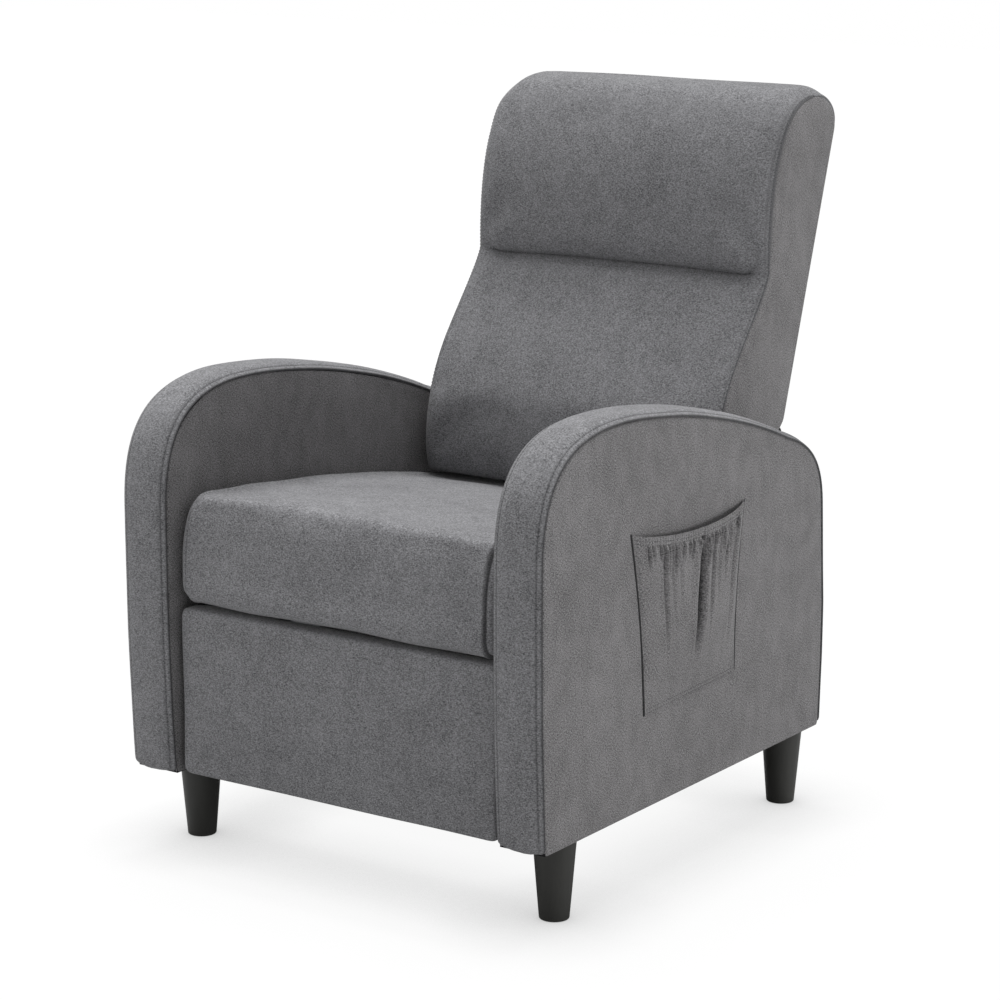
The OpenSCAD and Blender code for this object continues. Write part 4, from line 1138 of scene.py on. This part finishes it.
def makeLeg(word, node):
    low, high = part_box(node)
    middle = (low + high) / 2
    wide = (high.x - low.x) / 2
    narrow = wide - legSettings["taper"]
    height = high.z - low.z
    edge = legSettings["edge"]
    profile = run(
        (wide - 1.2 * mm, high.z), (wide - 0.3 * mm, high.z - 0.4 * mm), (wide, high.z - 1.4 * mm),
        (wide, high.z - 4 * mm), (wide - 1.2 * mm, high.z - 0.14 * height),
        (wide - 4.4 * mm, high.z - 0.5 * height),
        (narrow + 0.4 * mm, low.z + 7 * mm), (narrow, low.z + edge + 0.6 * mm),
        bezier((narrow, low.z + edge), (narrow, low.z + 0.4 * edge), (narrow - 0.4 * edge, low.z),
               (narrow - edge, low.z), 5))
    turns = legSettings["turns"]
    angles = np.arange(turns) * 2 * math.pi / turns
    rings = np.array([np.stack([middle.x + r * np.cos(angles), middle.y + r * np.sin(angles), np.full(turns, z)], 1)
                      for r, z in profile])
    piece = tube(f"turnedLeg_{word}", rings, legFinish, flip=True)
    subdivided(piece)
    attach(piece, "base")
    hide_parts(node)


for word in ("front_left", "front_right", "rear_left", "rear_right"):
    makeLeg(word, f"leg_{word}")
print("legs made")


rearSettings = {"spacing": 8 * mm, "edgeDrop": 5 * mm, "puff": 3 * mm}
liningSettings = {
    "spacing": 7 * mm, "across": 90, "thick": 0.8 * mm, "fold": 4.2 * mm, "smallFold": 2.2 * mm, "slack": 1.04,
}


def makeRearPanel():
    low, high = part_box("rear_panel")
    low.x, high.x = low.x - armSettings["innerTrim"], high.x + armSettings["innerTrim"]  # up to the arms' cloth

    def places(first, last):
        # close together beside the edges
        edge = np.array([0, 1.2, 3.4, 7]) * mm
        even = np.linspace(first + 12 * mm, last - 12 * mm, int((last - first) / rearSettings["spacing"]))
        return np.concatenate([first + edge, even, last - edge[::-1]])

    xx, zz = np.meshgrid(places(low.x, high.x), places(low.z, high.z))
    gap = np.minimum(np.minimum(xx - low.x, high.x - xx), np.minimum(zz - low.z, high.z - zz))
    y = high.y - 1 * mm - rearSettings["edgeDrop"] * quarter(1 - gap / (6 * mm))
    y += rearSettings["puff"] * smooth(gap / (80 * mm))
    grid = np.stack([xx, y, zz], -1)
    grid[..., 1] += wander(grid, 0.2, 81) * 0.8 * mm
    back = grid.copy()
    back[..., 1] = low.y
    piece = tube("rearPanel", np.concatenate([grid, back[:, ::-1]], 1), panelCloth, flip=True)
    subdivided(piece)
    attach(piece, "base")
    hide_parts("rear_panel")


def makeLining():
    low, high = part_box("back_gusset")
    half = high.x
    top = np.array([coverFoot[0] - 7 * mm, high.z])
    ridge = np.array([0.288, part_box("rear_panel")[1].z + 24 * mm])
    end = np.array([low.y + 1.2 * mm, low.z])
    line = run(top, bezier(top, top + [0.046, -0.024], top + [0.022, -0.104], ridge, 26),
               bezier(ridge, ridge - [0.032, 0.012], end + [0.026, 0.060], end + [0, 0.018], 24), end)
    line = evenly(line, liningSettings["spacing"])
    normals = outward(line, rounds=3)
    xs = np.linspace(-half, half, liningSettings["across"])
    rows = []
    for p, n, t in zip(line, normals, lengths(line) / lengths(line)[-1]):
        fold = liningSettings["fold"] * np.sin(xs / half * 9.0 + 3.5 * t + 1.2 * np.sin(xs / half * 4.1))
        fold += liningSettings["smallFold"] * np.sin(xs / half * 23 - 5 * t)
        level = fold * math.sin(math.pi * t) ** 0.8 - 1.0 * mm
        rows.append(np.column_stack([xs, p + n * level[:, None]]))
    grid = np.array(rows)
    under = grid.copy()
    under[..., 1:] -= normals[:, None] * liningSettings["thick"]
    piece = tube("backLining", np.concatenate([grid, under[:, ::-1]], 1), blackCloth, flip=True)
    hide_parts("back_gusset")
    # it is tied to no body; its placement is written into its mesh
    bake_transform(piece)


makeRearPanel()
makeLining()
print("rear panel and lining made")


nodeFinishes = {
    timberFinish: ("seat_rear_rail", "back_post_left", "back_post_right", "back_top_rail"),
    steelFinish: ("leg_bolts", "rail_bolts", "carriage_left", "carriage_right", "seat_pins", "carriage_screws",
                  "seat_springs", "back_fasteners", "drive_links", "front_links", "front_link_pins", "rear_links",
                  "rear_link_pins", "carrier_links", "carrier_pins", "control_links", "footrest_screws",
                  "footrest_pins"),
    paintFinish: ("base_rail_left", "base_rail_right", "back_bracket_left", "back_bracket_right", "cross_tube",
                  "footrest_bracket_left", "footrest_bracket_right"),
    nylonFinish: ("glide_blocks",),
    webFinish: ("back_straps",),
    # the black lining on these frame parts is partly the black dust cover under the chair and partly painted shade,
    # dark where the gaps around the cushions show only shadow
    blackCloth: ("seat_front_rail", "front_stretcher", "rear_rails", "back_lower_rail", "seat_side_rail_left",
                 "seat_side_rail_right", "arm_frame_left", "arm_frame_right", "footrest_board"),
}
for material, names in nodeFinishes.items():
    for name in names:
        mesh = cadNodes[name].data
        if len(mesh.materials) == 0:
            mesh.materials.append(material)
        for k in range(len(mesh.materials)):
            mesh.materials[k] = material
print("mechanism finished")


studioSettings = {
    "cameraAt": (2.329, -3.424, 1.372), "aim": (0.0506, -0.1278, 0.4812), "lens": 109.24,
    "shift": (0.0051, -0.0016), "roll": 0.12, "world": 0.40, "sun": 3.1, "sunFrom": (-0.5, 0.7, 3.0), "sunWide": 44,
    # place, target, size, watts
    "fills": {"sideFill": ((3.4, 0.5, 0.42), (0, 0, 0.42), (2.0, 0.8), 28.0),
              "frontFill": ((-2.0, -3.4, 1.1), (0, 0, 0.5), (1.6, 1.4), 20.0)},
    "floor": 0.93, "floorBounce": 0.42, "floorHalf": 14.0,
    "floorLift": 0.94, "floorReach": 0.16, "floorOpen": 0.66, "floorDark": 0.38,
}


def placed(name, data, at=(0, 0, 0), towards=(0, 0, 0), roll=0.0):
    # a light or camera that looks at a point
    holder = bpy.data.objects.new(name, data)
    holder.location = at
    turn = (Vector(towards) - Vector(at)).to_track_quat("-Z", "Y").to_matrix()
    holder.rotation_euler = (turn @ Matrix.Rotation(math.radians(roll), 3, "Z")).to_euler()
    scene.collection.objects.link(holder)
    return holder


def fixedNode(tree, kind, key, value):
    node = addNode(tree, kind)
    node.inputs[key].default_value = value
    return node.outputs[0]


def eitherShader(tree, factor, a, b):
    node = addNode(tree, "ShaderNodeMixShader")
    for socket, value in zip(node.inputs, (factor, a, b)):
        wire(tree, value, socket)
    return node.outputs[0]


def makeStudio():
    camera = bpy.data.cameras.new("camera")
    camera.lens = studioSettings["lens"]
    camera.shift_x, camera.shift_y = studioSettings["shift"]
    scene.camera = placed("camera", camera, studioSettings["cameraAt"], studioSettings["aim"],
                          studioSettings["roll"])

    world = bpy.data.worlds.new("studio")
    scene.world = world
    world.use_nodes = True
    tree = world.node_tree
    backdrop = tree.nodes["Background"]
    backdrop.inputs["Color"].default_value = (1, 1, 1, 1)
    backdrop.inputs["Strength"].default_value = studioSettings["world"]
    white = fixedNode(tree, "ShaderNodeBackground", "Color", (1, 1, 1, 1))
    path = addNode(tree, "ShaderNodeLightPath")
    sky = eitherShader(tree, path.outputs["Is Camera Ray"], backdrop.outputs[0], white)
    wire(tree, sky, tree.nodes["World Output"].inputs["Surface"])

    sun = bpy.data.lights.new("overhead", "SUN")
    sun.energy = studioSettings["sun"]
    sun.angle = math.radians(studioSettings["sunWide"])
    placed("overhead", sun, towards=-Vector(studioSettings["sunFrom"]))
    for name, (at, target, size, power) in studioSettings["fills"].items():
        lamp = bpy.data.lights.new(name, "AREA")
        lamp.shape = "RECTANGLE"
        lamp.size, lamp.size_y = size
        lamp.energy = power
        placed(name, lamp, at, target)

    half = studioSettings["floorHalf"]
    corners = [(-half, -half, 0), (half, -half, 0), (half, half, 0), (-half, half, 0)]
    floorMesh = bpy.data.meshes.new("studioFloor")
    floorMesh.from_pydata(corners, [], [(0, 1, 2, 3)])
    floorPiece = bpy.data.objects.new("studioFloor", floorMesh)
    scene.collection.objects.link(floorPiece)
    paper = bpy.data.materials.new("paleFloor")
    paper.use_nodes = True
    tree = paper.node_tree
    surface = tree.nodes["Principled BSDF"]
    surface.inputs["Base Color"].default_value = (studioSettings["floor"],) * 3 + (1,)
    surface.inputs["Roughness"].default_value = 0.9
    surface.inputs["Specular IOR Level"].default_value = 0.1
    # what the camera sees of the floor is mostly a glow that stands in for lamp light: full white in the open and
    # dimmer where ambient occlusion finds the chair close, a painted contact shadow that stays light; the lit floor
    # shows through only a little
    near = addNode(tree, "ShaderNodeAmbientOcclusion", samples=8)
    near.inputs["Distance"].default_value = studioSettings["floorReach"]
    openness = times(tree, near.outputs["AO"], studioSettings["floorOpen"])
    glow = addNode(tree, "ShaderNodeEmission")
    wire(tree, math2(tree, "ADD", openness, studioSettings["floorDark"], clamp=True), glow.inputs["Strength"])
    # what the chair gets back from the floor
    dim = fixedNode(tree, "ShaderNodeBsdfDiffuse", "Color", (studioSettings["floorBounce"],) * 3 + (1,))
    seen = addNode(tree, "ShaderNodeLightPath").outputs["Is Camera Ray"]
    lit = eitherShader(tree, seen, dim, surface.outputs[0])
    shown = eitherShader(tree, times(tree, seen, studioSettings["floorLift"]), lit, glow.outputs[0])
    wire(tree, shown, tree.nodes["Material Output"].inputs["Surface"])
    floorMesh.materials.append(paper)
    scene.view_settings.view_transform = "Standard"
    scene.view_settings.look = "None"


makeStudio()
print("studio made")
